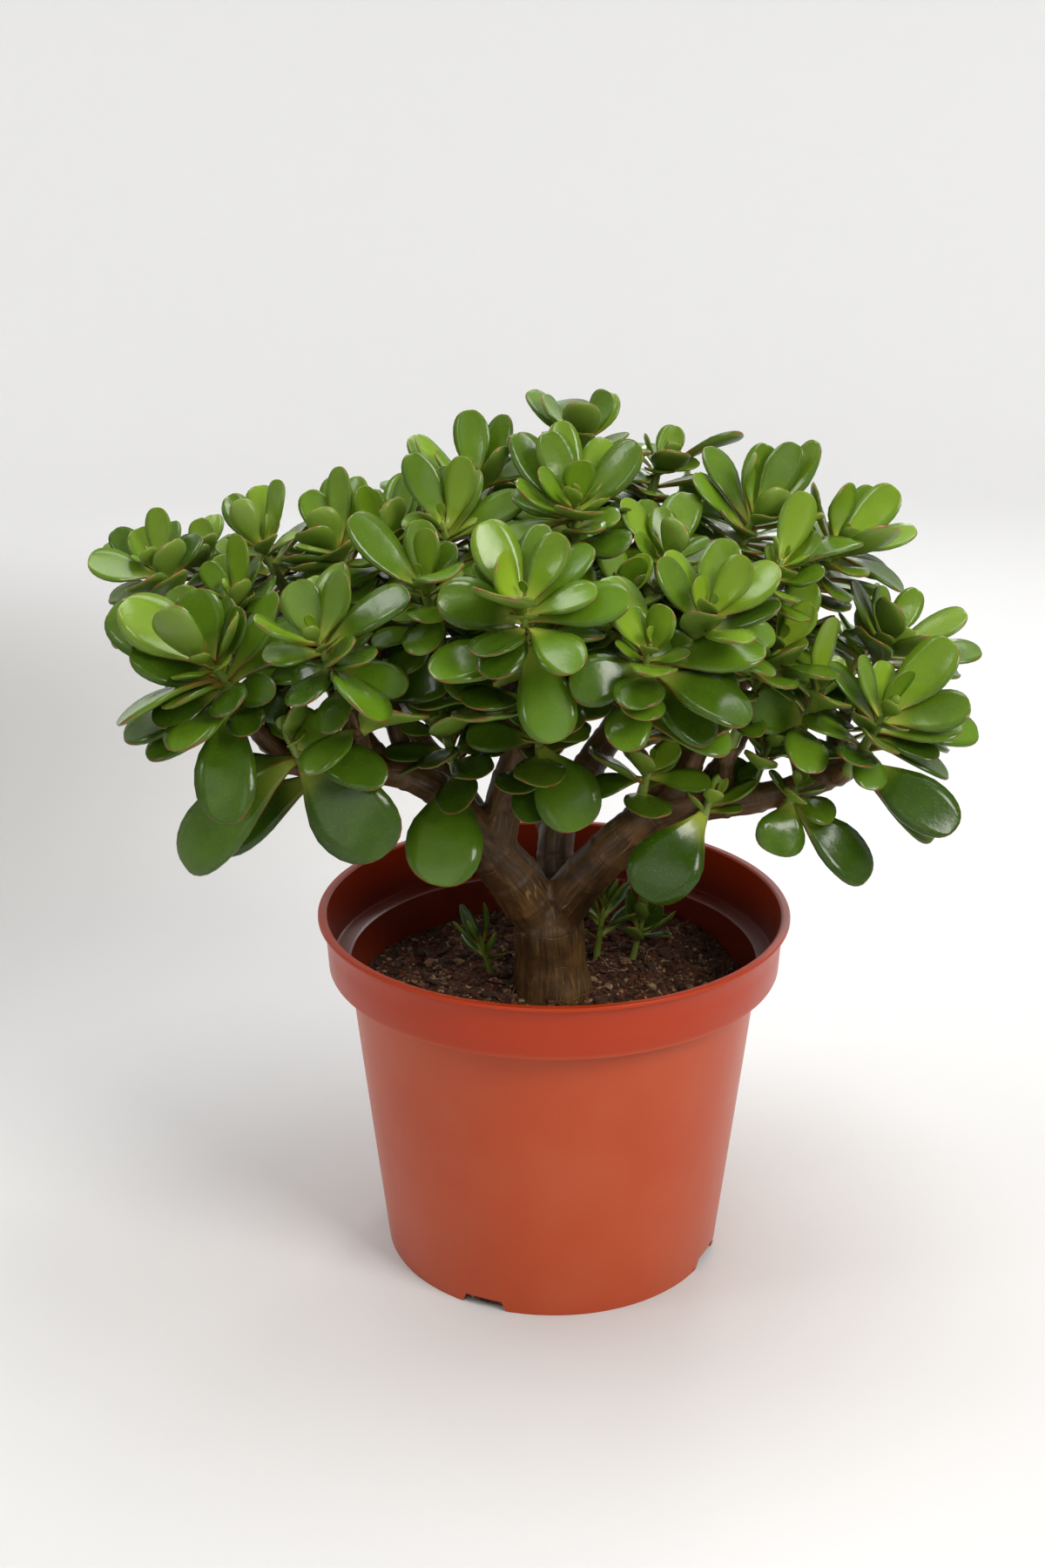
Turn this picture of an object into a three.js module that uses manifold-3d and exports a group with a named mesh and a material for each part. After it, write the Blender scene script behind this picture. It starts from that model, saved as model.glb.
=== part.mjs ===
// A potted jade plant: a round nursery pot filled with soil, a short trunk that forks into bare limbs, and a
// crown of leafy heads, each a green stem with thick spoon-shaped leaves in crossed pairs.
// Millimetres, +Z up. The origin is the middle of the pot's underside, and -Y faces the viewer.
import * as THREE from "three";
import { mergeVertices } from "three/addons/utils/BufferGeometryUtils.js";
import Module from "manifold-3d";

const wasm = await Module();
wasm.setup();

// ---- driving dimensions -------------------------------------------------------------------------------------

const GAP = 0.3; // clearance between two pieces that rest on each other

const POT = {
  lipRadius: 135,
  lipDrop: 3, // height of the thin flange at the mouth
  height: 210,
  bandTop: 131.3, // outer radius of the collar just under the lip
  bandFoot: 129.4, // outer radius of the collar at its lower edge
  bandHeight: 31.5,
  bodyTop: 118.3,
  shoulder: 1, // the collar's underside slopes by this much to either side of its lower edge
  shoulderIn: 2,
  base: 98.4,
  wall: 1.8,
  floor: 2.2,
  sides: 36,
};
const CHANNEL = {
  count: 4,
  turn: -24, // degrees from the front to the first foot notch
  width: 31,
  height: 6.3,
  slope: 4.5, // each flank leans in by this much
  start: 34, // inner end of the channel, from the pot's axis
  roof: 1.6,
  drainRadius: 5,
  drainAt: 60,
  drainSides: 12,
  beyond: 10, // how far each cut runs past the wall or floor that it opens
};
const SOIL = {
  level: 158,
  mound: 5, // how much higher it lies round the trunk, and how far out
  moundReach: 48,
  pile: 10, // how much higher it is heaped against the wall at the back right, and how far out
  pileAt: [66, 62],
  pileReach: 36,
  lump: 1.7,
  rings: 5,
  sectors: 24,
  clearance: 0.9,
};

const SKIRT = {
  leaves: 2,
  counted: 0.6, // leaves opened by less than this many radians leave no gap filled
  drop: 15,
  step: 5,
  foot: 8,
  reach: 42,
  rise: 0.12,
  width: 23.5,
  least: 30, // shorter stems carry none
};
const STEM = { base: 3.6, top: 3.1, sides: 5, bud: 7, sunk: 4 };
const HEAD_LEAN = { least: 8, byReach: 0.11 }; // degrees, and degrees for each millimetre from the pot's axis
const LIMB = { thick: 14, thickSides: 8, sides: 6 };
const TWIG = {
  end: 4.6,
  swell: 0.6, // how much thicker its middle is than its end
  sides: 5,
  steps: 2,
  share: 0.72, // its radius where it leaves the limb, as a share of the limb's
  most: 6.5,
  first: 0.2, // it leaves the limb between these shares of the limb's length
  last: 0.9,
  tries: 14,
  bend: 0.8, // how much a sharp turn counts against a place
  leave: 0.3, // how far it keeps the limb's direction, and the head's, as shares of its length
  arrive: 0.35,
};
const LEAF = {
  thickness: 0.125, // as a share of its width
  thinnest: 2.2,
  thickest: 4.4,
  neck: 0.17,
  widest: 0.63,
  swell: 1.7,
  rings: [0.52, 0.88],
  bigRings: [0.38, 0.68, 0.88],
  keel: 0.8, // depth of the keel beneath a ring, as a share of the thickness
  tipKeel: 0.45,
  sunk: 1.6,
  upright: 35, // degrees from the stem up to which a leaf doesn't droop, and over which it droops more and more
  drooping: 60,
  arch: [-0.07, 0.09], // rise of the middle as a share of the length, upright and drooping
  cup: [0.07, 0.02], // rise of the edges as a share of the width
  face: 0.28, // how far a listed leaf's upper face turns to the viewer when its row doesn't say
  showsBack: 0.3,
  listedYield: 0.4, // how readily it turns aside
  facingYield: 0.15,
  facing: 0.8,
};
const BIG_LEAF = 26; // wider leaves are built with one more ring
const NODE_STEP = 3.4; // a head's leaves stand in pairs, each pair this much lower on the stem

// Leaf tips are measured from their head in the front view, which looks down by this angle.
const VIEW_TILT = THREE.MathUtils.degToRad(20);
const ACROSS = new THREE.Vector3(1, 0, 0);
const RISE = new THREE.Vector3(0, Math.sin(VIEW_TILT), Math.cos(VIEW_TILT));
const AWAY = new THREE.Vector3(0, Math.cos(VIEW_TILT), -Math.sin(VIEW_TILT));

// ---- the plant's layout -------------------------------------------------------------------------------------

// Trunk and limbs as centreline points with their radius: x, y, z, r.
const LIMBS = {
  trunk: [
    [-2, -8, 118, 21.6], [-2, -8, 170, 21.3], [-2, -8, 185, 20.4], [-3, -8, 200, 20.6], [-3, -8, 214, 18],
  ],
  left: [[-4, -8, 200, 16], [-20, -14, 228, 16], [-34, -19, 249, 14.5], [-46, -22, 264, 11]],
  leftLow: [
    [-36, -19, 250, 12], [-58, -25, 284, 10.2], [-85, -35, 303, 8], [-112, -48, 309, 7], [-146, -58, 317, 6.2],
  ],
  leftHigh: [
    [-34, -19, 248, 12.5], [-29, -15, 275, 11], [-20, -11, 304, 10], [-9, -4, 338, 8.4], [2, 0, 372, 7],
  ],
  right: [
    [-2, -8, 204, 15], [22, -16, 240, 13.5], [58, -25, 276, 11.5], [85, -29, 283, 9.6], [110, -33, 288, 8.6],
    [136, -39, 297, 7.4], [158, -46, 310, 6.4],
  ],
  middle: [[1, 2, 206, 12], [3, 20, 250, 10.5], [16, 32, 276, 9.6], [32, 42, 298, 8.6], [52, 52, 330, 7.4]],
  rightHigh: [[50, -22, 266, 8], [58, -14, 300, 7.4], [74, -20, 335, 6.6], [84, -26, 362, 6]],
  back: [[2, 16, 238, 9.5], [-8, 48, 272, 8.4], [-18, 84, 306, 7.2], [-26, 108, 334, 6.4]],
  backLeft: [[-28, -12, 242, 9.5], [-60, 22, 280, 8.2], [-100, 52, 312, 7.2], [-132, 76, 336, 6.2]],
  backRight: [[34, -16, 252, 9], [68, 22, 284, 8], [100, 58, 312, 7], [122, 82, 334, 6.2]],
};

// Leafy heads: centre of the rosette, length of green stem below it, the limb that carries it, and its leaves.
// A leaf row is: across, rise, away (its tip from the centre), width, drop (its root below the centre), and how
// far its upper face turns to the viewer, from 0 to 1.
const HEADS = {
  head_left_front: {
    at: [-177, -70, 375], stem: 40, limb: "leftLow",
    leaves: [
      [-47, 31, 8, 34, 2], [-58, 28, 26, 30, 8], [-25, 25, -25, 28, 0], [-14, 37, -4, 27, 0],
      [-20, 41, 16, 26, 0], [15, 29, -4, 16, 0], [9, 34, 14, 18, 0], [36, 35, -6, 24, 2], [46, 22, 14, 24, 6],
      [31, -15, -14, 20, 10, 0.6], [-43, 5, -4, 24, 12, 0.5], [-30, -4, 16, 22, 9], [4, -82, -10, 31, 18, 1],
      [37, -23, 8, 19, 20, 0.7], [-49, -38, 12, 26, 22], [-35, -49, 4, 24, 30, 0.3],
    ],
  },
  head_left_far: {
    at: [-214, -10, 409], stem: 42, limb: "leftLow",
    leaves: [
      [-36, 5, -6, 22, 3, 0.5], [-14, 24, 8, 19, 0], [1, 34, 1, 16, 0], [12, 13, -17, 23, 0],
      [19, 22, 10, 22, 0], [6, 29, 13, 14, 0], [-26, 24, 20, 14, 4], [-31, 21, 28, 16, 6],
      [-28, -13, 6, 22, 12],
    ],
  },
  head_left_back: {
    at: [-196, 40, 404], stem: 40, limb: "backLeft",
    leaves: [
      [-4, 22, 4, 17, 0], [3, 11, -12, 18, 0], [13, 14, 0, 16, 0], [5, 25, 13, 16, 0], [-24, 12, 4, 20, 4],
      [22, 6, 16, 20, 5],
    ],
  },
  head_left_inner: {
    at: [-172, -25, 394], stem: 34, limb: "leftLow",
    leaves: [[-13, 23, -6, 14, 0], [9, 37, 2, 17, 0], [17, 25, 12, 20, 2], [-8, 28, 12, 16, 1]],
  },
  head_left_top: {
    at: [-158, 0, 419], stem: 40, limb: "leftLow",
    leaves: [
      [-20, 28, 4, 17, 0], [-13, 25, -10, 16, 0], [9, 37, 2, 14, 0], [-5, 37, 13, 18, 0], [17, 6, -14, 18, 4],
      [24, -11, -2, 18, 6], [-26, 4, 12, 20, 4],
    ],
  },
  head_front_left: {
    at: [-120, -90, 392], stem: 40, limb: "leftLow",
    leaves: [
      [17, 35, -6, 22, 0], [6, 44, 9, 20, 0], [44, 27, -8, 24, 2], [-16, 30, 6, 24, 2], [-12, 38, 18, 18, 0],
      [15, -7, -26, 24, 6, 0.5], [-28, -6, -8, 22, 6, 0.3], [45, -24, -2, 19, 18, 0.6], [33, -13, 16, 19, 12],
      [-14, -24, 10, 22, 16],
    ],
  },
  head_mid_left: {
    at: [-116, -10, 421], stem: 42, limb: "leftLow",
    leaves: [
      [-11, 20, -15, 20, 0], [-8, 43, 10, 13, 0], [-1, 44, 1, 14, 0], [8, 42, 8, 14, 0], [-19, 32, 8, 16, 0],
      [24, 8, 0, 18, 4],
    ],
  },
  head_mid_left_top: {
    at: [-90, -10, 426], stem: 44, limb: "leftHigh",
    leaves: [
      [-9, 27, 3, 17, 0], [8, 22, -13, 21, 0], [3, 44, 15, 20, 0], [10, 36, 5, 14, 0], [-18, 26, 0, 14, 0],
      [22, 10, 8, 18, 4],
    ],
  },
  head_front_mid: {
    at: [-68, -70, 414], stem: 44, limb: "leftHigh",
    leaves: [
      [-39, 36, 0, 20, 2], [3, 30, -13, 19, 0], [0, 36, 8, 20, 0], [16, 24, 4, 18, 0],
      [15, -8, -10, 19, 9, 0.4], [-16, -14, -8, 20, 10], [24, 4, 14, 20, 6],
    ],
  },
  head_mid_top: {
    at: [-58, -40, 437], stem: 46, limb: "leftHigh",
    leaves: [
      [-15, 42, 4, 16, 0], [2, 35, 9, 18, 0], [-9, 34, 13, 18, 0], [11, 39, -6, 18, 0], [16, 36, 5, 19, 0],
      [39, 22, -2, 18, 2, 0.4],
    ],
  },
  head_top_left: {
    at: [-44, 10, 450], stem: 46, limb: "leftHigh",
    leaves: [
      [-29, 30, 0, 15, 0], [-37, 26, 10, 14, 2], [-2, 43, 4, 20, 0], [17, 40, 4, 18, 0],
      [-22, 17, -10, 18, 2], [17, 21, -15, 20, 0],
    ],
  },
  head_front_centre: {
    at: [-17, -110, 416], stem: 46, limb: "leftHigh",
    leaves: [
      [-22, 42, 4, 25, 0], [-14, 23, -17, 25, 0], [-43, 6, -10, 27, 2, 0.75], [8, 43, 11, 17, 0],
      [18, 36, -4, 20, 0], [32, 33, 4, 15, 0], [34, 8, -15, 16, 2], [53, 3, -8, 20, 5, 0.5],
      [-14, -14, 10, 20, 9], [18, -66, -4, 31, 22, 1], [-45, -25, 6, 26, 22, 0.35],
      [-47, -36, -4, 28, 27, 0.35],
    ],
  },
  head_top_front: {
    at: [10, -50, 452], stem: 46, limb: "leftHigh",
    leaves: [
      [-30, 40, 8, 18, 0], [-21, 18, -15, 14, 2], [-12, 40, -4, 20, 0], [-10, 46, 7, 14, 0],
      [1, 23, -13, 18, 0], [31, 33, -5, 23, 0, 0.35], [16, 38, 10, 16, 0], [-34, 8, 8, 18, 4],
      [6, -15, -20, 24, 8, 0.3], [24, -10, 6, 20, 8],
    ],
  },
  head_top: {
    at: [14, 10, 474], stem: 44, limb: "leftHigh",
    leaves: [
      [-28, 30, 5, 18, 0], [-22, 24, -7, 22, 0], [14, 27, -5, 20, 0], [17, 28, 8, 20, 0], [26, 4, 2, 18, 4],
    ],
  },
  head_top_right: {
    at: [57, 40, 456], stem: 44, limb: "middle",
    leaves: [[11, 22, 3, 19, 0], [23, 3, 8, 14, 4], [0, -6, -16, 18, 4], [-16, -6, -12, 15, 6]],
  },
  head_mid_right: {
    at: [58, -40, 422], stem: 42, limb: "rightHigh",
    leaves: [
      [-4, 29, 4, 17, 0], [4, 20, -12, 22, 0], [-23, 33, -2, 14, 2], [-12, 35, 14, 18, 0],
      [-18, 12, -12, 16, 2], [8, 38, 20, 22, 0], [26, 6, 8, 20, 5],
    ],
  },
  head_front_centre_inner: {
    at: [36, -70, 409], stem: 34, limb: "rightHigh",
    leaves: [[-10, 34, 6, 15, 0], [-2, 25, -8, 18, 0], [9, 24, 2, 13, 0], [-20, 14, 4, 16, 2]],
  },
  head_front_right_low: {
    at: [44, -120, 395], stem: 44, limb: "rightHigh",
    leaves: [
      [-15, 24, -5, 14, 0], [-8, 24, 5, 16, 0], [13, 19, -13, 23, 0], [-17, 42, 8, 26, 0],
      [-39, -16, -8, 27, 8, 0.85], [-38, -3, 8, 15, 6], [30, -42, -6, 25, 14, 0.8], [57, 0, -6, 21, 4, 0.45],
      [45, -16, 8, 22, 10], [8, -20, 16, 22, 14],
    ],
  },
  head_front_right: {
    at: [72, -110, 410], stem: 46, limb: "rightHigh",
    leaves: [
      [14, 39, 4, 22, 0], [-4, 20, -11, 13, 0], [-25, 28, -5, 16, 0], [-15, 36, 4, 16, 0],
      [38, 23, -3, 25, 1, 0.4], [22, 30, 1, 17, 0], [37, 5, -8, 18, 3, 0.3], [36, -6, 4, 17, 6],
      [-14, -18, 12, 22, 14],
    ],
  },
  head_right_top: {
    at: [105, -10, 438], stem: 50, limb: "right",
    leaves: [
      [-23, 40, 6, 17, 0], [-1, 34, -11, 20, 0], [9, 40, 10, 18, 0], [22, 40, -2, 16, 0], [37, 38, 2, 15, 2],
      [-33, 21, -7, 20, 3], [-28, 8, 5, 18, 6], [15, 12, -17, 20, 4],
    ],
  },
  head_right_mid: {
    at: [115, -40, 417], stem: 44, limb: "right",
    leaves: [[17, 40, 2, 17, 0], [24, 17, 0, 14, 2], [22, -2, -15, 19, 6]],
  },
  head_right_back: {
    at: [152, 10, 417], stem: 48, limb: "right",
    leaves: [
      [8, 34, -9, 26, 0], [24, 35, 12, 14, 0], [34, 32, 1, 22, 0], [45, 9, 0, 20, 2],
      [32, -14, 8, 24, 8, 0.4], [-18, 4, -4, 16, 5],
    ],
  },
  head_right_front: {
    at: [171, -60, 342], stem: 34, limb: "right",
    leaves: [
      [-25, 31, -4, 16, 0], [-12, 33, -9, 16, 0], [1, 32, 12, 15, 0], [11, 26, -11, 15, 0],
      [36, 41, -2, 29, 0], [44, 8, -11, 24, 2, 0.5], [42, -6, -2, 20, 4], [-15, 3, -17, 16, 4],
      [55, -4, 10, 18, 6], [30, -19, -2, 15, 12], [38, -29, 12, 16, 15], [37, -59, -6, 26, 27, 0.9],
      [-8, -38, -10, 21, 12, 0.5], [30, -63, 10, 24, 32, 0.3],
    ],
  },
  head_right_far: {
    at: [183, 0, 365], stem: 44, limb: "right",
    leaves: [
      [-20, 35, -4, 16, 0], [-5, 33, 3, 18, 0], [17, 31, 6, 15, 0], [43, 17, -2, 19, 0], [-4, 6, -18, 13, 8],
      [9, 8, -15, 16, 8], [53, -2, 6, 15, 4], [-24, 8, 8, 16, 4],
    ],
  },
  head_right_inner: {
    at: [114, -50, 375], stem: 58, limb: "right",
    leaves: [[19, 26, -5, 18, 0], [21, 38, 6, 20, 0], [-18, 14, 6, 16, 2], [20, -12, 4, 20, 8]],
  },
  shoot_right_front: {
    at: [139, -46, 349], stem: 24, limb: "right",
    leaves: [[1, 44, -4, 14, 0], [-38, 0, -9, 28, 16, 0.85], [-14, 20, 8, 16, 3], [14, 22, 8, 14, 2]],
  },
  shoot_right_limb: {
    at: [115, -32, 315], stem: 20, limb: "right",
    leaves: [[-26, 24, 2, 15, 0], [30, -11, 4, 15, 2], [-10, -20, 8, 14, 6]],
  },
  shoot_middle: {
    at: [50, -34, 302], stem: 20, limb: "right",
    leaves: [[-33, -10, -4, 15, 3], [35, -8, 2, 14, 3], [-12, 20, 4, 14, 0], [14, 18, 6, 16, 0]],
  },
  shoot_left_limb: {
    at: [-60, -34, 328], stem: 38, limb: "leftLow",
    leaves: [[-33, -13, -2, 13, 14], [33, -12, 2, 15, 14, 0.3], [-5, -84, -14, 44, 30, 1]],
  },
  shoot_centre: {
    at: [-9, -52, 330], stem: 42, limb: "leftHigh",
    leaves: [[-38, 0, -10, 19, 3, 0.5], [24, -48, -16, 37, 6, 1], [26, 4, 6, 16, 4]],
  },
  shoot_left_low: {
    at: [-140, -68, 334], stem: 17, limb: "leftLow",
    leaves: [
      [20, 6, -8, 32, 6, 0.9], [57, -5, -8, 22, 8, 0.55], [50, -60, -12, 46, 10, 1],
      [-62, -66, 24, 28, 12, 0.8], [-10, 18, 8, 14, 0],
    ],
  },
  shoot_right_low: {
    at: [128, -50, 296], stem: 9, limb: "right",
    leaves: [[-12, -32, -6, 30, 4, 1], [40, -46, 2, 27, 6, 0.6], [20, -14, -6, 20, 2, 0.4]],
  },
  leaf_left_limb: {
    at: [-126, -46, 309], stem: 12, limb: "leftLow",
    leaves: [[-61, -42, 12, 27, 3, 0.6]],
  },
  leaf_right_limb: {
    at: [82, -46, 288], stem: 12, limb: "right",
    leaves: [[-34, -50, -12, 40, 3, 1]],
  },
};

// Heads on the far side of the crown, filled by rule: centre, stem, limb, size of the largest leaf, turn.
const BACK_HEADS = [
  [[-178, 88, 372], 34, "backLeft", 42, 20],
  [[-128, 118, 388], 40, "backLeft", 44, 55],
  [[-110, 58, 410], 52, "backLeft", 42, 10],
  [[-66, 100, 412], 52, "back", 42, 75],
  [[-30, 152, 378], 36, "back", 46, 30],
  [[-6, 84, 432], 60, "back", 42, 0],
  [[36, 132, 398], 50, "back", 44, 62],
  [[82, 92, 418], 56, "backRight", 42, 35],
  [[112, 130, 372], 34, "backRight", 46, 15],
  [[146, 66, 398], 46, "backRight", 42, 80],
  [[182, 62, 348], 32, "backRight", 44, 48],
  [[-84, 150, 340], 34, "backLeft", 44, 5],
];

// Seedling shoots that stand in the soil beside the trunk: foot, height, leaf length, pairs, turn.
const SEEDLINGS = {
  seedling_left: {
    foot: [-34, 13], height: 21, leaf: 37, width: 0.25, pairs: 2, turn: 105, lean: [-0.25, -0.05],
  },
  seedling_right: {
    foot: [25, 30], height: 33, leaf: 34, width: 0.3, pairs: 4, turn: 40, lean: [0.12, 0],
  },
  seedling_right_low: {
    foot: [46, 30], height: 25, leaf: 30, width: 0.46, pairs: 3, turn: 0, lean: [0.2, -0.1],
  },
};
const SEEDLING = {
  buried: 8,
  slim: 0.62, // its stem's radius as a share of a head's
  open: 24, // degrees from the stem for the top pair, and more for each pair below it
  openStep: 14,
  top: 0.7, // length of the top pair's leaves as a share of the largest
  step: 0.2,
  above: 1, // how far the top pair stands above the stem's end
};
const PAIR = { width: 0.56, open: [-4, 6] }; // width by length, and the degrees by which its two leaves differ

// ---- solids -------------------------------------------------------------------------------------------------

function solidOf(geometry) {
  const bare = geometry.index ? geometry.toNonIndexed() : geometry.clone();
  bare.deleteAttribute("normal");
  bare.deleteAttribute("uv");
  const merged = mergeVertices(bare, 1e-4);
  return new wasm.Manifold(
    new wasm.Mesh({
      numProp: 3,
      vertProperties: merged.attributes.position.array,
      triVerts: new Uint32Array(merged.index.array),
    }),
  );
}

function geometryOf(solid) {
  const mesh = solid.getMesh();
  const points = new Float32Array(mesh.numVert * 3);
  for (let i = 0; i < mesh.numVert; i += 1) {
    const from = i * mesh.numProp;
    points.set(mesh.vertProperties.subarray(from, from + 3), i * 3);
  }
  const geometry = new THREE.BufferGeometry();
  geometry.setAttribute("position", new THREE.BufferAttribute(points, 3));
  geometry.setIndex(new THREE.BufferAttribute(new Uint32Array(mesh.triVerts), 1));
  geometry.computeVertexNormals();
  return geometry;
}

/** The union of solids, without the loose scraps that a cut may leave. */
function joined(solids) {
  const whole = solids.reduce((sum, solid) => sum.add(solid));
  return whole.decompose().sort((a, b) => b.volume() - a.volume())[0];
}

/** A closed skin from rings of points, each ring a list of vectors, pointed or flat at either end. */
function loft(rings) {
  const points = [];
  const faces = [];
  const starts = rings.map((ring) => {
    points.push(...ring);
    return points.length - ring.length;
  });
  const cap = (start, count, flip) => {
    for (let i = 1; i + 1 < count; i += 1) {
      const far = [start + i, start + i + 1];
      faces.push(flip ? [start, far[1], far[0]] : [start, far[0], far[1]]);
    }
  };
  for (let k = 0; k + 1 < rings.length; k += 1) {
    const near = rings[k].length;
    const far = rings[k + 1].length;
    const steps = Math.max(near, far);
    for (let i = 0; i < steps; i += 1) {
      const j = (i + 1) % steps;
      const a = starts[k] + (i % near);
      const b = starts[k] + (j % near);
      const c = starts[k + 1] + (i % far);
      const d = starts[k + 1] + (j % far);
      if (near > 1) faces.push([a, b, far > 1 ? d : c]);
      if (far > 1) faces.push([a, d, c]);
    }
  }
  cap(starts[0], rings[0].length, true);
  cap(starts[rings.length - 1], rings[rings.length - 1].length, false);
  const geometry = new THREE.BufferGeometry().setFromPoints(points);
  geometry.setIndex(faces.flat());
  return geometry;
}

/** A round tube along a smooth curve, its radius running through the values, grown all over by `extra`. */
function taperedTube(curve, radii, extra, sides, steps) {
  const rings = [];
  let side = null;
  for (let k = 0; k <= steps; k += 1) {
    const t = k / steps;
    const along = curve.getTangent(t);
    const beyond = (k === steps) - (k === 0);
    const centre = curve.getPoint(t).addScaledVector(along, extra * beyond);
    const guess = side ?? (Math.abs(along.x) < 0.9 ? ACROSS.clone() : AWAY.clone());
    side = guess.clone().addScaledVector(along, -guess.dot(along)).normalize();
    const over = along.clone().cross(side);
    const radius = valueAt(radii, t) + extra;
    rings.push(
      Array.from({ length: sides }, (_, i) => {
        const turn = (2 * Math.PI * i) / sides;
        return centre
          .clone()
          .addScaledVector(side, radius * Math.cos(turn))
          .addScaledVector(over, radius * Math.sin(turn));
      }),
    );
  }
  return loft(rings);
}

function valueAt(values, t) {
  const place = t * (values.length - 1);
  const low = Math.min(Math.floor(place), values.length - 2);
  return values[low] + (values[low + 1] - values[low]) * (place - low);
}

// ---- pot and soil -------------------------------------------------------------------------------------------

function innerRadius(z) {
  const top = POT.height - POT.bandHeight;
  return POT.base + ((POT.bodyTop - POT.base) * z) / top - POT.wall;
}

/** A bar along a radius with leaning flanks, grown by `extra` on its top and flanks, from `start` to `end`. */
function channelBar(turn, extra, start, end) {
  const bottom = extra ? POT.floor / 2 : -CHANNEL.beyond;
  const half = CHANNEL.width / 2 + extra;
  const top = CHANNEL.height + extra;
  const profile = new THREE.Shape([
    new THREE.Vector2(-half, bottom),
    new THREE.Vector2(half, bottom),
    new THREE.Vector2(half - CHANNEL.slope, top),
    new THREE.Vector2(-half + CHANNEL.slope, top),
  ]);
  const bar = new THREE.ExtrudeGeometry(profile, { depth: end - start, bevelEnabled: false });
  bar.translate(0, 0, start);
  bar.rotateX(Math.PI / 2); // the profile's up becomes Z, and the bar runs towards -Y
  bar.rotateZ(THREE.MathUtils.degToRad(turn));
  return solidOf(bar);
}

function channelTurns() {
  return Array.from({ length: CHANNEL.count }, (_, i) => CHANNEL.turn + (360 / CHANNEL.count) * i);
}

function potSolid() {
  const { lipRadius, lipDrop, height, bandTop, bandFoot, bandHeight, bodyTop, base, wall, floor } = POT;
  const { shoulder, shoulderIn } = POT;
  const step = height - bandHeight;
  const lip = height - lipDrop;
  const profile = [
    [0, 0], [base, 0], [bodyTop, step - shoulder], [bandFoot - shoulderIn, step - shoulder],
    [bandFoot, step + shoulder], [bandTop, lip], [lipRadius, lip + shoulder / 2], [lipRadius, height],
    [bandTop - wall, height], [bandFoot - wall, step + wall],
    [innerRadius(step + wall - shoulder), step + wall - shoulder], [innerRadius(floor), floor], [0, floor],
  ];
  const shell = new THREE.LatheGeometry(profile.map(([r, z]) => new THREE.Vector2(r, z)), POT.sides);
  shell.rotateX(Math.PI / 2);
  let pot = solidOf(shell);
  if (pot.volume() < 0) throw new Error("the pot's profile runs the wrong way");
  const room = base - wall / 2;
  for (const turn of channelTurns()) {
    const { drainRadius, beyond, drainSides } = CHANNEL;
    const drain = new THREE.CylinderGeometry(drainRadius, drainRadius, 2 * beyond, drainSides);
    drain.rotateX(Math.PI / 2);
    drain.translate(0, -CHANNEL.drainAt, 0);
    drain.rotateZ(THREE.MathUtils.degToRad(turn));
    pot = pot
      .add(channelBar(turn, CHANNEL.roof, CHANNEL.start - CHANNEL.roof, room))
      .subtract(channelBar(turn, 0, CHANNEL.start, base + beyond))
      .subtract(solidOf(drain));
  }
  return pot;
}

/** Height of the soil's surface: a low mound round the trunk, a heap beside it and small lumps. */
function soilHeight(x, y) {
  const r = Math.hypot(x, y);
  const lumps = Math.sin(x * 0.19 + 1.3) * Math.cos(y * 0.23) + 0.6 * Math.sin(x * 0.31 - y * 0.27);
  const mound = SOIL.mound * Math.exp(-((r / SOIL.moundReach) ** 2));
  const away = Math.hypot(x - SOIL.pileAt[0], y - SOIL.pileAt[1]);
  const pile = SOIL.pile * Math.exp(-((away / SOIL.pileReach) ** 2));
  return SOIL.level + mound + pile + SOIL.lump * lumps;
}

function soilSolid() {
  const bottom = POT.floor + GAP;
  const rim = innerRadius(SOIL.level) - SOIL.clearance;
  const ring = (radius, height) =>
    Array.from({ length: SOIL.sectors }, (_, i) => {
      const turn = (2 * Math.PI * i) / SOIL.sectors;
      const x = radius * Math.cos(turn);
      const y = radius * Math.sin(turn);
      return new THREE.Vector3(x, y, height ?? soilHeight(x, y));
    });
  // A polygon inscribed in the round wall: its corners keep the clearance.
  const rings = [ring(innerRadius(bottom) - SOIL.clearance, bottom)];
  for (let k = 0; k < SOIL.rings; k += 1) rings.push(ring(rim * (1 - k / SOIL.rings)));
  rings.push([new THREE.Vector3(0, 0, soilHeight(0, 0))]);
  let soil = solidOf(loft(rings));
  for (const turn of channelTurns()) {
    const start = CHANNEL.start - CHANNEL.roof - GAP;
    soil = soil.subtract(channelBar(turn, CHANNEL.roof + GAP, start, POT.base));
  }
  return soil;
}

// ---- wood ---------------------------------------------------------------------------------------------------

const vector = ([x, y, z]) => new THREE.Vector3(x, y, z);

function limbCurve(points) {
  return new THREE.CatmullRomCurve3(points.map(vector), false, "centripetal");
}

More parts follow.
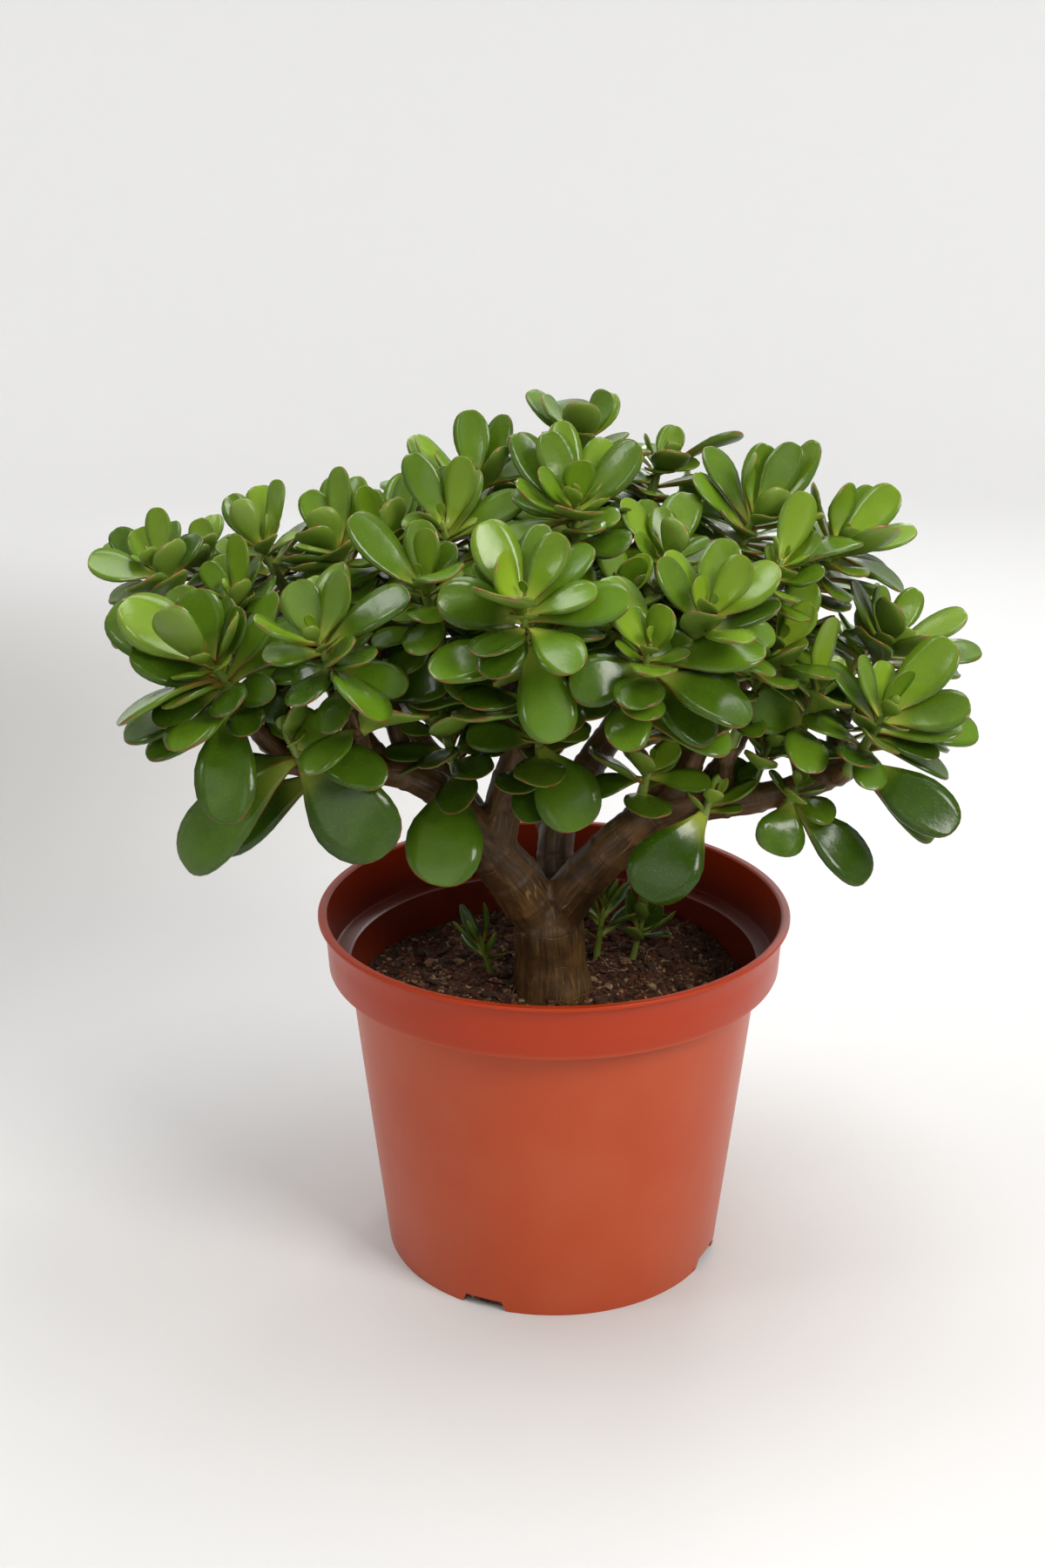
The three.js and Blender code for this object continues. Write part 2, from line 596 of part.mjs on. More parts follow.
/** Where a twig leaves its limb, and the curve that it follows to the foot of a head's stem. */
function twigCurve(head) {
  const limb = limbCurve(LIMBS[head.limb]);
  const foot = head.foot;
  let best = null;
  for (let k = 0; k <= TWIG.tries; k += 1) {
    const t = TWIG.first + ((TWIG.last - TWIG.first) * k) / TWIG.tries;
    const from = limb.getPoint(t);
    const way = foot.clone().sub(from);
    const bend = 1 - way.clone().normalize().dot(limb.getTangent(t));
    const cost = way.length() * (1 + TWIG.bend * bend);
    if (!best || cost < best.cost) best = { cost, t, from, way, along: limb.getTangent(t) };
  }
  const reach = best.way.length();
  const radius = valueAt(LIMBS[head.limb].map((point) => point[3]), best.t);
  const curve = new THREE.CubicBezierCurve3(
    best.from,
    best.from.clone().addScaledVector(best.along, reach * TWIG.leave),
    foot.clone().addScaledVector(head.axis, -reach * TWIG.arrive),
    foot,
  );
  const start = Math.max(TWIG.end, Math.min(radius * TWIG.share, TWIG.most));
  return { curve, radii: [start, TWIG.end + TWIG.swell, TWIG.end] };
}

/** Trunk, limbs and twigs as one body, each grown by `extra`. */
function woodSolid(twigs, extra) {
  const pieces = [];
  for (const points of Object.values(LIMBS)) {
    const sides = points[0][3] > LIMB.thick ? LIMB.thickSides : LIMB.sides;
    const radii = points.map((point) => point[3]);
    pieces.push(solidOf(taperedTube(limbCurve(points), radii, extra, sides, points.length - 1)));
  }
  for (const { curve, radii } of twigs) {
    pieces.push(solidOf(taperedTube(curve, radii, extra, TWIG.sides, TWIG.steps)));
  }
  return joined(pieces);
}

// ---- leaves -------------------------------------------------------------------------------------------------

/** A leaf's half width at `u` along its length, as a share of its full half width. */
function outline(u) {
  if (u > LEAF.widest) return Math.sqrt(Math.max(0, 1 - ((u - LEAF.widest) / (1 - LEAF.widest)) ** 2));
  const swell = Math.sin((Math.PI / 2) * (u / LEAF.widest));
  return LEAF.neck + (1 - LEAF.neck) * swell ** LEAF.swell;
}

class Leaf {
  constructor(head, root, tip, width, face, yielding) {
    this.head = head;
    this.root = root;
    this.along = tip.clone().sub(root);
    this.length = this.along.length();
    this.along.normalize();
    const upper = head.axis.clone().addScaledVector(this.along, -head.axis.dot(this.along)).normalize();
    const seen = AWAY.clone().negate();
    seen.addScaledVector(this.along, -seen.dot(this.along)).normalize();
    if (face < LEAF.showsBack && upper.dot(seen) < 0) seen.negate(); // such a leaf shows its back
    this.upper = upper.lerp(seen, face).normalize();
    this.width = width;
    this.thickness = THREE.MathUtils.clamp(width * LEAF.thickness, LEAF.thinnest, LEAF.thickest);
    this.yielding = yielding;
    const open = THREE.MathUtils.radToDeg(this.along.angleTo(head.axis));
    const droop = THREE.MathUtils.clamp((open - LEAF.upright) / LEAF.drooping, 0, 1);
    this.arch = this.length * THREE.MathUtils.lerp(...LEAF.arch, droop);
    this.cup = width * THREE.MathUtils.lerp(...LEAF.cup, droop);
  }

  get side() {
    return this.along.clone().cross(this.upper);
  }

  /** A point of the middle surface, `u` along the leaf and `s` across it, from -1 to 1. */
  point(u, s) {
    const half = (this.width / 2) * outline(u);
    return this.root
      .clone()
      .addScaledVector(this.along, this.length * u)
      .addScaledVector(this.upper, this.arch * 4 * u * (1 - u) + this.cup * s * s * outline(u))
      .addScaledVector(this.side, half * s);
  }

  turn(spin) {
    const angle = spin.length();
    if (angle < 1e-9) return;
    const axis = spin.clone().divideScalar(angle);
    this.along.applyAxisAngle(axis, angle).normalize();
    this.upper.applyAxisAngle(axis, angle);
    this.upper.addScaledVector(this.along, -this.upper.dot(this.along)).normalize();
  }

  shrink(share) {
    this.length *= share;
    this.width *= share;
    this.arch *= share;
    this.cup *= share;
  }

  /** Three-cornered rings, two edges and a keel beneath, between a root sunk in the stem and the tip. */
  solid() {
    const stations = this.width < BIG_LEAF ? LEAF.rings : LEAF.bigRings;
    const rings = stations.map((u) => {
      const keel = this.thickness * (u === stations.at(-1) ? LEAF.tipKeel : LEAF.keel);
      return [this.point(u, 1), this.point(u, 0).addScaledVector(this.upper, -keel), this.point(u, -1)];
    });
    const sunk = this.root.clone().addScaledVector(this.along, -LEAF.sunk);
    return solidOf(loft([[sunk], ...rings, [this.point(1, 0)]]));
  }
}

// ---- settling: leaves turn about their roots until none crosses another -------------------------------------

const SAMPLES = [
  [0.3, 0], [0.5, 0], [0.7, 0], [0.87, 0], [1, 0], [0.35, 1], [0.35, -1], [0.55, 1], [0.55, -1], [0.75, 1],
  [0.75, -1], [0.9, 1], [0.9, -1],
];
const SETTLE = {
  rounds: 90,
  clear: 1.3,
  rim: 2.5,
  mostTurn: 0.06, // radians in one round
  mostPush: 12,
  shortArm: 10, // a push nearer the root than this turns the leaf no faster
  ownFrom: 0.5, // leaves of one head are compared from this share of their length on
  ownOther: 0.4,
  from: 0.08,
  rodFrom: 0.12,
  rodNear: 12, // within this distance of its root a leaf may touch a rod, and its own stem
  ownRodNear: 21,
  rodStep: 6,
  pierced: 0.55, // a rod that runs more squarely than this through a blade pushes it sideways
  reach: 0.55, // leaves whose middles are further apart than this share of their lengths can't touch
  spare: 8,
  passes: 14,
  passRounds: 6,
  shrink: 0.94,
};

/** Where a point lies in a leaf's own frame, or null when it is outside the blade. */
function inBlade(leaf, point, from) {
  const way = point.clone().sub(leaf.root);
  const u = way.dot(leaf.along) / leaf.length;
  if (u < from || u > 1 + SETTLE.rim / leaf.length) return null;
  const inside = Math.min(u, 0.97);
  const across = way.dot(leaf.side);
  const half = (leaf.width / 2) * outline(inside) + SETTLE.rim;
  if (Math.abs(across) > half) return null;
  const share = across / half;
  const middle = leaf.arch * 4 * inside * (1 - inside) + leaf.cup * share * share;
  return { u, across, half, height: way.dot(leaf.upper) - middle };
}

function push(store, leaf, point, move) {
  const arm = point.clone().sub(leaf.root);
  const size = Math.max(arm.lengthSq(), SETTLE.shortArm ** 2);
  const entry = store.get(leaf) ?? { spin: new THREE.Vector3(), count: 0 };
  entry.spin.addScaledVector(arm.cross(move), 1 / size);
  entry.count += 1;
  store.set(leaf, entry);
}

/** The pushes that two crossing blades give each other, and how deep the worst crossing is. */
function pressBlades(a, b, store) {
  const own = a.head === b.head;
  const hits = [];
  let sum = 0;
  for (const [u, s] of SAMPLES) {
    if (own && u < SETTLE.ownFrom) continue;
    const point = a.point(u, s);
    const found = inBlade(b, point, own ? SETTLE.ownOther : SETTLE.from);
    if (!found) continue;
    hits.push({ point, height: found.height });
    sum += found.height;
  }
  if (!hits.length) return 0;
  const reach = (a.thickness + b.thickness) / 2 + SETTLE.clear;
  const way = sum < 0 ? -1 : 1;
  const shareA = a.yielding / (a.yielding + b.yielding);
  let worst = 0;
  for (const { point, height } of hits) {
    const depth = reach - way * height;
    if (depth <= 0) continue;
    worst = Math.max(worst, depth);
    const move = Math.min(depth, SETTLE.mostPush) * way;
    push(store, a, point, b.upper.clone().multiplyScalar(move * shareA));
    push(store, b, point, b.upper.clone().multiplyScalar(-move * (1 - shareA)));
  }
  return worst;
}

/** A rod is a stretch of stem, twig or limb. Blades slide off it, or turn aside where it would pierce them. */
function pressRod(rod, leaf, store) {
  const own = rod.head === leaf.head;
  const near = own ? SETTLE.ownRodNear : SETTLE.rodNear;
  let worst = 0;
  for (const point of rod.points) {
    if (point.distanceTo(leaf.root) < near) continue;
    const found = inBlade(leaf, point, SETTLE.rodFrom);
    if (!found) continue;
    const depth = rod.radius + leaf.thickness / 2 + SETTLE.clear - Math.abs(found.height);
    if (depth <= 0) continue;
    worst = Math.max(worst, depth);
    if (Math.abs(rod.along.dot(leaf.upper)) > SETTLE.pierced) {
      const aside = found.across < 0 ? 1 : -1;
      const slide = found.half + rod.radius - Math.abs(found.across);
      push(store, leaf, point, leaf.side.multiplyScalar(aside * Math.min(slide, SETTLE.mostPush)));
    } else {
      const way = found.height < 0 ? 1 : -1;
      push(store, leaf, point, leaf.upper.clone().multiplyScalar(way * depth));
    }
  }
  for (const [u, s] of SAMPLES) {
    if (u * leaf.length < near) continue;
    const point = leaf.point(u, s);
    const gap = point.clone().sub(rod.nearest(point));
    const depth = rod.radius + leaf.thickness / 2 + SETTLE.clear - gap.length();
    if (depth <= 0) continue;
    worst = Math.max(worst, depth);
    push(store, leaf, point, gap.normalize().multiplyScalar(depth));
  }
  return worst;
}

function makeRod(head, a, b, radius) {
  const line = new THREE.Line3(a, b);
  const count = Math.max(2, Math.ceil(a.distanceTo(b) / SETTLE.rodStep));
  return {
    head,
    radius,
    along: b.clone().sub(a).normalize(),
    points: Array.from({ length: count + 1 }, (_, i) => a.clone().lerp(b, i / count)),
    centre: a.clone().lerp(b, 0.5),
    reach: a.distanceTo(b) / 2 + radius,
    nearest: (point) => line.closestPointToPoint(point, true, new THREE.Vector3()),
  };
}

function rodsAlong(head, curve, radii, steps) {
  return Array.from({ length: steps }, (_, k) => {
    const radius = Math.max(valueAt(radii, k / steps), valueAt(radii, (k + 1) / steps));
    return makeRod(head, curve.getPoint(k / steps), curve.getPoint((k + 1) / steps), radius);
  });
}

/** Turns every leaf clear of the others, then makes the few that are still caught smaller, or drops them. */
function settle(leaves, rods) {
  const round = () => {
    const store = new Map();
    const caught = new Map();
    const note = (leaf, depth) => caught.set(leaf, Math.max(caught.get(leaf) ?? 0, depth));
    for (let i = 0; i < leaves.length; i += 1) {
      const a = leaves[i];
      const middle = a.point(0.5, 0);
      for (let j = i + 1; j < leaves.length; j += 1) {
        const b = leaves[j];
        if (middle.distanceTo(b.point(0.5, 0)) > (a.length + b.length) * SETTLE.reach + SETTLE.spare) continue;
        const depth = Math.max(pressBlades(a, b, store), pressBlades(b, a, store));
        if (depth > SETTLE.clear && a.head !== b.head) note(a.yielding < b.yielding ? b : a, depth);
      }
      for (const rod of rods) {
        if (middle.distanceTo(rod.centre) > a.length * SETTLE.reach + rod.reach + SETTLE.spare) continue;
        const depth = pressRod(rod, a, store);
        if (depth > SETTLE.clear && rod.head !== a.head) note(a, depth);
      }
    }
    for (const [leaf, { spin, count }] of store) {
      spin.multiplyScalar(leaf.yielding / Math.sqrt(count));
      spin.clampLength(0, SETTLE.mostTurn);
      leaf.turn(spin);
    }
    return caught;
  };
  let caught = new Map();
  for (let k = 0; k < SETTLE.rounds; k += 1) caught = round();
  for (let pass = 0; pass < SETTLE.passes && caught.size; pass += 1) {
    for (const leaf of caught.keys()) leaf.shrink(SETTLE.shrink);
    for (let k = 0; k < SETTLE.passRounds; k += 1) caught = round();
  }
  return leaves.filter((leaf) => !caught.has(leaf));
}

// ---- heads --------------------------------------------------------------------------------------------------

/** A head leans outwards from the pot's axis, the more the further out it stands. */
function headAxis(at) {
  const out = Math.hypot(at.x, at.y);
  const lean = Math.tan(THREE.MathUtils.degToRad(HEAD_LEAN.least + HEAD_LEAN.byReach * out));
  return new THREE.Vector3((at.x / out) * lean, (at.y / out) * lean, 1).normalize();
}

function makeHead(name, at, stem, limb) {
  const centre = vector(at);
  const axis = headAxis(centre);
  return { name, centre, axis, limb, stem, foot: centre.clone().addScaledVector(axis, -stem), leaves: [] };
}

function addLeaf(head, tip, width, drop, face, yielding) {
  const root = head.centre.clone().addScaledVector(head.axis, -drop);
  head.leaves.push(new Leaf(head, root, tip, width, face, yielding));
}

function listedHeads() {
  return Object.entries(HEADS).map(([name, spec]) => {
    const head = makeHead(name, spec.at, spec.stem, spec.limb);
    const rows = spec.leaves.map(([across, rise, away, width, drop, face = LEAF.face]) => {
      const way = ACROSS.clone().multiplyScalar(across).addScaledVector(RISE, rise).addScaledVector(AWAY, away);
      return { way, width, drop, face, open: way.angleTo(head.axis) };
    });
    rows.sort((a, b) => a.open - b.open);
    rows.forEach(({ way, width, drop, face }, k) => {
      const root = Math.max(drop, NODE_STEP * Math.floor(k / 2) - 2); // two leaves to a node
      const yielding = face > LEAF.facing ? LEAF.facingYield : LEAF.listedYield;
      addLeaf(head, head.centre.clone().add(way), width, root, face, yielding);
    });
    if (spec.stem > SKIRT.least) addSkirt(head);
    return head;
  });
}

/** Fills the two widest gaps round a listed head with large lower leaves that droop a little. */
function addSkirt(head) {
  const across = new THREE.Vector3(0, 0, 1).cross(head.axis).normalize();
  const over = head.axis.clone().cross(across);
  const turns = head.leaves
    .filter((leaf) => leaf.along.angleTo(head.axis) > SKIRT.counted)
    .map((leaf) => Math.atan2(leaf.along.dot(over), leaf.along.dot(across)));
  for (let k = 0; k < SKIRT.leaves; k += 1) {
    turns.sort((a, b) => a - b);
    const gaps = turns.map((turn, i) => {
      const next = turns[(i + 1) % turns.length];
      return [(next - turn + 4 * Math.PI) % (2 * Math.PI), turn];
    });
    const [gap, from] = gaps.sort((a, b) => b[0] - a[0])[0] ?? [2 * Math.PI, 0];
    const angle = from + (gap || 2 * Math.PI) / 2;
    turns.push(angle > Math.PI ? angle - 2 * Math.PI : angle);
    const out = across.clone().multiplyScalar(Math.cos(angle)).addScaledVector(over, Math.sin(angle));
    const drop = Math.min(SKIRT.drop + SKIRT.step * k, head.stem - SKIRT.foot);
    const root = head.centre.clone().addScaledVector(head.axis, -drop);
    const tip = root.addScaledVector(out, SKIRT.reach).addScaledVector(head.axis, SKIRT.reach * SKIRT.rise);
    addLeaf(head, tip, SKIRT.width, drop, 0, 1);
  }
}

/** A pair of leaves, one opposite the other, opened from the stem by `open` degrees. */
function addPair(head, turn, open, length, drop, width = PAIR.width) {
  const across = new THREE.Vector3(0, 0, 1).cross(head.axis).normalize();
  const over = head.axis.clone().cross(across);
  for (const [half, more] of PAIR.open.entries()) {
    const angle = THREE.MathUtils.degToRad(turn) + half * Math.PI;
    const out = across.clone().multiplyScalar(Math.cos(angle)).addScaledVector(over, Math.sin(angle));
    const rise = THREE.MathUtils.degToRad(open + more);
    const way = head.axis.clone().multiplyScalar(Math.cos(rise)).addScaledVector(out, Math.sin(rise));
    const tip = head.centre.clone().addScaledVector(head.axis, -drop).addScaledVector(way, length);
    addLeaf(head, tip, length * width, drop, 0, 1);
  }
}

const PAIRS = [
  // open, share of the largest leaf, drop below the centre
  [24, 0.8, 0],
  [52, 1, 7],
  [80, 1.05, 17],
];

function ruledHeads() {
  return BACK_HEADS.map(([at, stem, limb, size, turn], i) => {
    const head = makeHead(`head_far_${i + 1}`, at, stem, limb);
    PAIRS.forEach(([open, share, drop], k) => addPair(head, turn + 90 * k, open, size * share, drop));
    return head;
  });
}

function seedlingHeads() {
  return Object.entries(SEEDLINGS).map(([name, spec]) => {
    const [x, y] = spec.foot;
    const foot = new THREE.Vector3(x, y, soilHeight(x, y) - SEEDLING.buried);
    const axis = new THREE.Vector3(spec.lean[0], spec.lean[1], 1).normalize();
    const stem = spec.height + SEEDLING.buried;
    const centre = foot.clone().addScaledVector(axis, stem);
    const head = { name, centre, axis, foot, stem, leaves: [], inSoil: true };
    for (let k = 0; k < spec.pairs; k += 1) {
      const share = Math.min(1, SEEDLING.top + SEEDLING.step * k);
      const drop = (k * spec.height) / (spec.pairs + 1) - SEEDLING.above;
      const open = SEEDLING.open + SEEDLING.openStep * k;
      addPair(head, spec.turn + 90 * k, open, spec.leaf * share, drop, spec.width);
    }
    return head;
  });
}

/** A head's green stem, from inside its twig to the pointed bud. */
function stemSolid(head, extra) {
  const { axis, centre, foot } = head;
  const slim = head.inSoil ? SEEDLING.slim : 1;
  const side = new THREE.Vector3(0, 1, 0).cross(axis).normalize();
  const over = axis.clone().cross(side);
  const ring = (middle, radius) =>
    Array.from({ length: STEM.sides }, (_, i) => {
      const turn = (2 * Math.PI * i) / STEM.sides;
      const point = middle.clone().addScaledVector(side, radius * Math.cos(turn));
      return point.addScaledVector(over, radius * Math.sin(turn));
    });
  const start = foot.clone().addScaledVector(axis, head.inSoil ? 0 : -STEM.sunk);
  const tip = centre.clone().addScaledVector(axis, STEM.bud + extra);
  return solidOf(loft([ring(start, STEM.base * slim + extra), ring(centre, STEM.top * slim + extra), [tip]]));
}

// ---- the whole plant ----------------------------------------------------------------------------------------

const FINISH = {
  plastic: new THREE.MeshStandardMaterial({ color: 0xb9502f, roughness: 0.45, metalness: 0 }),
  soil: new THREE.MeshStandardMaterial({ color: 0x3a2a22, roughness: 1, metalness: 0 }),
  bark: new THREE.MeshStandardMaterial({ color: 0x6d5540, roughness: 0.8, metalness: 0 }),
  leaf: new THREE.MeshStandardMaterial({ color: 0x4f7f1f, roughness: 0.35, metalness: 0 }),
};

const group = new THREE.Group();

function addMesh(name, solid, material) {
  const mesh = new THREE.Mesh(geometryOf(solid), material);
  mesh.name = name;
  group.add(mesh);
}

const heads = [...listedHeads(), ...ruledHeads(), ...seedlingHeads()];
const carried = heads.filter((head) => !head.inSoil);
const twigs = carried.map(twigCurve);

const rods = [];
for (const points of Object.values(LIMBS)) {
  rods.push(...rodsAlong(null, limbCurve(points), points.map((point) => point[3]), points.length * 2));
}
twigs.forEach(({ curve, radii }) => rods.push(...rodsAlong(null, curve, radii, 6)));
for (const head of heads) {
  rods.push(makeRod(head, head.foot, head.centre.clone().addScaledVector(head.axis, STEM.bud / 2), STEM.base));
}
const kept = new Set(settle(heads.flatMap((head) => head.leaves), rods));

const wood = woodSolid(twigs, 0);
const woodRoom = woodSolid(twigs, GAP);

addMesh("pot", potSolid(), FINISH.plastic);
let soil = soilSolid().subtract(woodRoom);
for (const head of heads.filter((item) => item.inSoil)) soil = soil.subtract(stemSolid(head, GAP));
addMesh("soil", joined([soil]), FINISH.soil);
addMesh("trunk_and_limbs", wood, FINISH.bark);

for (const head of heads) {
  const pieces = [stemSolid(head, 0)];
  for (const leaf of head.leaves.filter((item) => kept.has(item))) pieces.push(leaf.solid());
  let solid = joined(pieces);
  if (!head.inSoil) solid = joined([solid.subtract(woodRoom)]);
  addMesh(head.name, solid, FINISH.leaf);
}

export default group;
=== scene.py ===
"""A potted jade plant: a terracotta nursery pot, peat, a bare forked trunk and a crown of glossy leaves.

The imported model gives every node's place. Each sub-assembly below is a class that models its pieces in the
same frame, in metres, with +Z up and the viewer on the side of -Y.
"""

from __future__ import annotations

import logging
import math
from dataclasses import dataclass, field
from enum import Enum
from typing import ClassVar, Iterable, Sequence

import bmesh
import bpy
import numpy as np
from mathutils import Matrix, Vector, noise
from mathutils.bvhtree import BVHTree


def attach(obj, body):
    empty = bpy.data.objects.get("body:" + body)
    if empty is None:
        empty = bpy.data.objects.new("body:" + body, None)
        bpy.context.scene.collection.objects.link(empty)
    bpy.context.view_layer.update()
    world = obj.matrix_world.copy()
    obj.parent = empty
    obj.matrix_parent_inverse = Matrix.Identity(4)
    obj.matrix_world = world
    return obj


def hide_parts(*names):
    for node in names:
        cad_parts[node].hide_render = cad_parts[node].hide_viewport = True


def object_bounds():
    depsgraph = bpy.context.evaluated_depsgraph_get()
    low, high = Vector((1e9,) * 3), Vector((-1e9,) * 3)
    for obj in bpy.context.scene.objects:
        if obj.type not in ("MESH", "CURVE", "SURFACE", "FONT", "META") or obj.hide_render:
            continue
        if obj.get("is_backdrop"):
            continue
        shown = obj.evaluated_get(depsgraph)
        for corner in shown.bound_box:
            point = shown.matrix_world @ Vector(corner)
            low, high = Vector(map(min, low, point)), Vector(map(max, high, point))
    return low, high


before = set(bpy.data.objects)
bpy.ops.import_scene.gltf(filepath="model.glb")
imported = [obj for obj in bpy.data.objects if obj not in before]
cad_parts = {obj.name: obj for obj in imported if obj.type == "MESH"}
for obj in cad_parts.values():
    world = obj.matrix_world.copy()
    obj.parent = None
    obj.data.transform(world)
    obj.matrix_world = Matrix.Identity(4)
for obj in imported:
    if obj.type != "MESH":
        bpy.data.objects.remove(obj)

LOG = logging.getLogger("jade_plant")
MM = 0.001
SEED = 20
TURN = 6.28  # a turn of a loose bit, in radians


# ---- colours and nodes ---------------------------------------------------------------------------

NOISE = {"Scale": 1.0, "Roughness": 0.55}
SMOOTH = {"interpolation_type": "SMOOTHSTEP"}
COLOURS = {"data_type": "RGBA"}
PRODUCT = {"operation": "MULTIPLY", "use_clamp": True}


def linear(code: str) -> tuple[float, float, float, float]:
    """Turns an sRGB hex colour into a linear colour.

    Args:
        code: Six hex digits after a hash sign.

    Returns:
        Red, green, blue and an alpha of one.
    """
    parts = [int(code[i : i + 2], 16) / 255 for i in (1, 3, 5)]
    shares = [c / 12.92 if c <= 0.04045 else ((c + 0.055) / 1.055) ** 2.4 for c in parts]
    return (*shares, 1.0)


def add(
    tree: bpy.types.NodeTree, kind: str, inputs: dict | None = None, output: int | str = 0, **settings
) -> bpy.types.NodeSocket:
    """Adds a node with its settings, values and links.

    Args:
        tree: The material's node tree.
        kind: The node's type, without its ShaderNode prefix.
        inputs: An output socket, a value or a hex colour for each input, by name or place.
        output: The output that is returned, by name or place.
        **settings: The node's own properties.

    Returns:
        One of the new node's outputs.
    """
    node = tree.nodes.new("ShaderNode" + kind)
    for name, value in settings.items():
        setattr(node, name, value)
    for key, value in (inputs or {}).items():
        if isinstance(value, bpy.types.NodeSocket):
            tree.links.new(value, node.inputs[key])
        else:
            node.inputs[key].default_value = linear(value) if isinstance(value, str) else value
    return node.outputs[output]


def new_material(name: str) -> tuple[bpy.types.Material, bpy.types.NodeTree, bpy.types.Node]:
    """Starts a node material.

    Args:
        name: The finish's name.

    Returns:
        The material, its node tree and its surface shader.
    """
    material = bpy.data.materials.new(name)
    material.use_nodes = True
    tree = material.node_tree
    tree.nodes.clear()
    surface = add(tree, "BsdfPrincipled")
    tree.links.new(surface, tree.nodes.new("ShaderNodeOutputMaterial").inputs["Surface"])
    return material, tree, surface.node


def place_of(
    tree: bpy.types.NodeTree, size: float, stretch: Sequence[float] = (1, 1, 1)
) -> bpy.types.NodeSocket:
    """Object coordinates, scaled so that a texture of scale 1 has a detail of about `size`.

    Args:
        tree: The material's node tree.
        size: The real size of the pattern's detail, in metres.
        stretch: How much finer the pattern is along each axis.

    Returns:
        The scaled coordinates' socket.
    """
    coordinates = add(tree, "TexCoord", output="Object")
    return add(tree, "Mapping", {"Vector": coordinates, "Scale": tuple(share / size for share in stretch)})


def layered(
    tree: bpy.types.NodeTree, base: bpy.types.NodeSocket | str, *layers: tuple
) -> bpy.types.NodeSocket:
    """Lays colours over a base, one after the other.

    Args:
        tree: The material's node tree.
        base: The colour at the bottom, a socket or a hex colour.
        *layers: For each layer its mask, the mask's values where it starts and where it is full (the mask
            counts as it is where both are 0), its greatest share, and its colour.

    Returns:
        The colour's socket.
    """
    for mask, start, full, share, colour in layers:
        if start != full:
            mask = add(tree, "MapRange", {"Value": mask, "From Min": start, "From Max": full}, **SMOOTH)
        if share < 1:
            mask = add(tree, "Math", {0: mask, 1: share}, **PRODUCT)
        base = add(tree, "Mix", {0: mask, 6: base, 7: colour}, 2, **COLOURS)
    return base


# ---- finishes ------------------------------------------------------------------------------------


@dataclass(frozen=True)
class MouldedPlastic:
    """Terracotta-coloured polypropylene, injection moulded: even colour, satin, with fine scuffs and dust."""

    colour: str = "#b0451f"
    faded: str = "#b34c28"
    collar: str = "#a83000"
    dust: str = "#c88a70"
    inside_shade: str = "#521507"
    collar_foot: tuple[float, float] = (177 * MM, 181 * MM)
    roughness: tuple[float, float] = (0.29, 0.39)
    scuff: float = 2.5 * MM
    mark: float = 15 * MM
    cloud: float = 60 * MM
    peel: float = 0.9 * MM

    def build(self) -> bpy.types.Material:
        """Returns the pot's material."""
        material, tree, shader = new_material("moulded_terracotta_polypropylene")
        clouds = add(tree, "TexNoise", {"Vector": place_of(tree, self.cloud), "Detail": 2, **NOISE})
        height = add(tree, "SeparateXYZ", {0: add(tree, "TexCoord", output="Object")}, 2)
        place = place_of(tree, self.mark, (1, 1, 0.35))
        marks = add(tree, "TexNoise", {"Vector": place, "Detail": 5, "Scale": 1.0, "Roughness": 0.65})
        place = place_of(tree, self.scuff, (1, 1, 3))
        scuffs = add(tree, "TexNoise", {"Vector": place, "Detail": 4, "Scale": 1.0, "Roughness": 0.7})
        inside = add(tree, "Attribute", output="Fac", attribute_name="inside")
        # The collar is painted redder: a painted glow for the daylight that shines through the thin collar
        # and makes it redder than the wall below. Dust and watering marks are paler than the plastic. Inside,
        # the
        # wall is painted darker: painted shade for the shadow that the crown casts into the pot.
        colour = layered(
            tree,
            self.colour,
            (clouds, 0.35, 0.7, 1, self.faded),
            # painted glow: the collar is redder, for daylight shining through it
            (height, *self.collar_foot, 1, self.collar),
            (marks, 0.6, 0.85, 0.1, self.dust),
            (scuffs, 0.7, 0.78, 0.35, self.dust),
            # painted shade: the inner wall is darker, for the crown's shadow in the pot
            (inside, 0, 0, 0.85, self.inside_shade),
        )
        tree.links.new(colour, shader.inputs["Base Color"])
        smooth, dull = self.roughness
        rough = add(tree, "MapRange", {"Value": marks, "To Min": smooth, "To Max": dull})
        tree.links.new(rough, shader.inputs["Roughness"])
        shader.inputs["IOR"].default_value = 1.49
        shader.inputs["Specular IOR Level"].default_value = 0.34
        # The mould's surface leaves a very fine orange-peel.
        peel = add(tree, "TexNoise", {"Vector": place_of(tree, self.peel), "Detail": 2, **NOISE})
        relief = add(tree, "Bump", {"Strength": 0.5, "Distance": 0.05 * MM, "Height": peel})
        tree.links.new(relief, shader.inputs["Normal"])
        return material


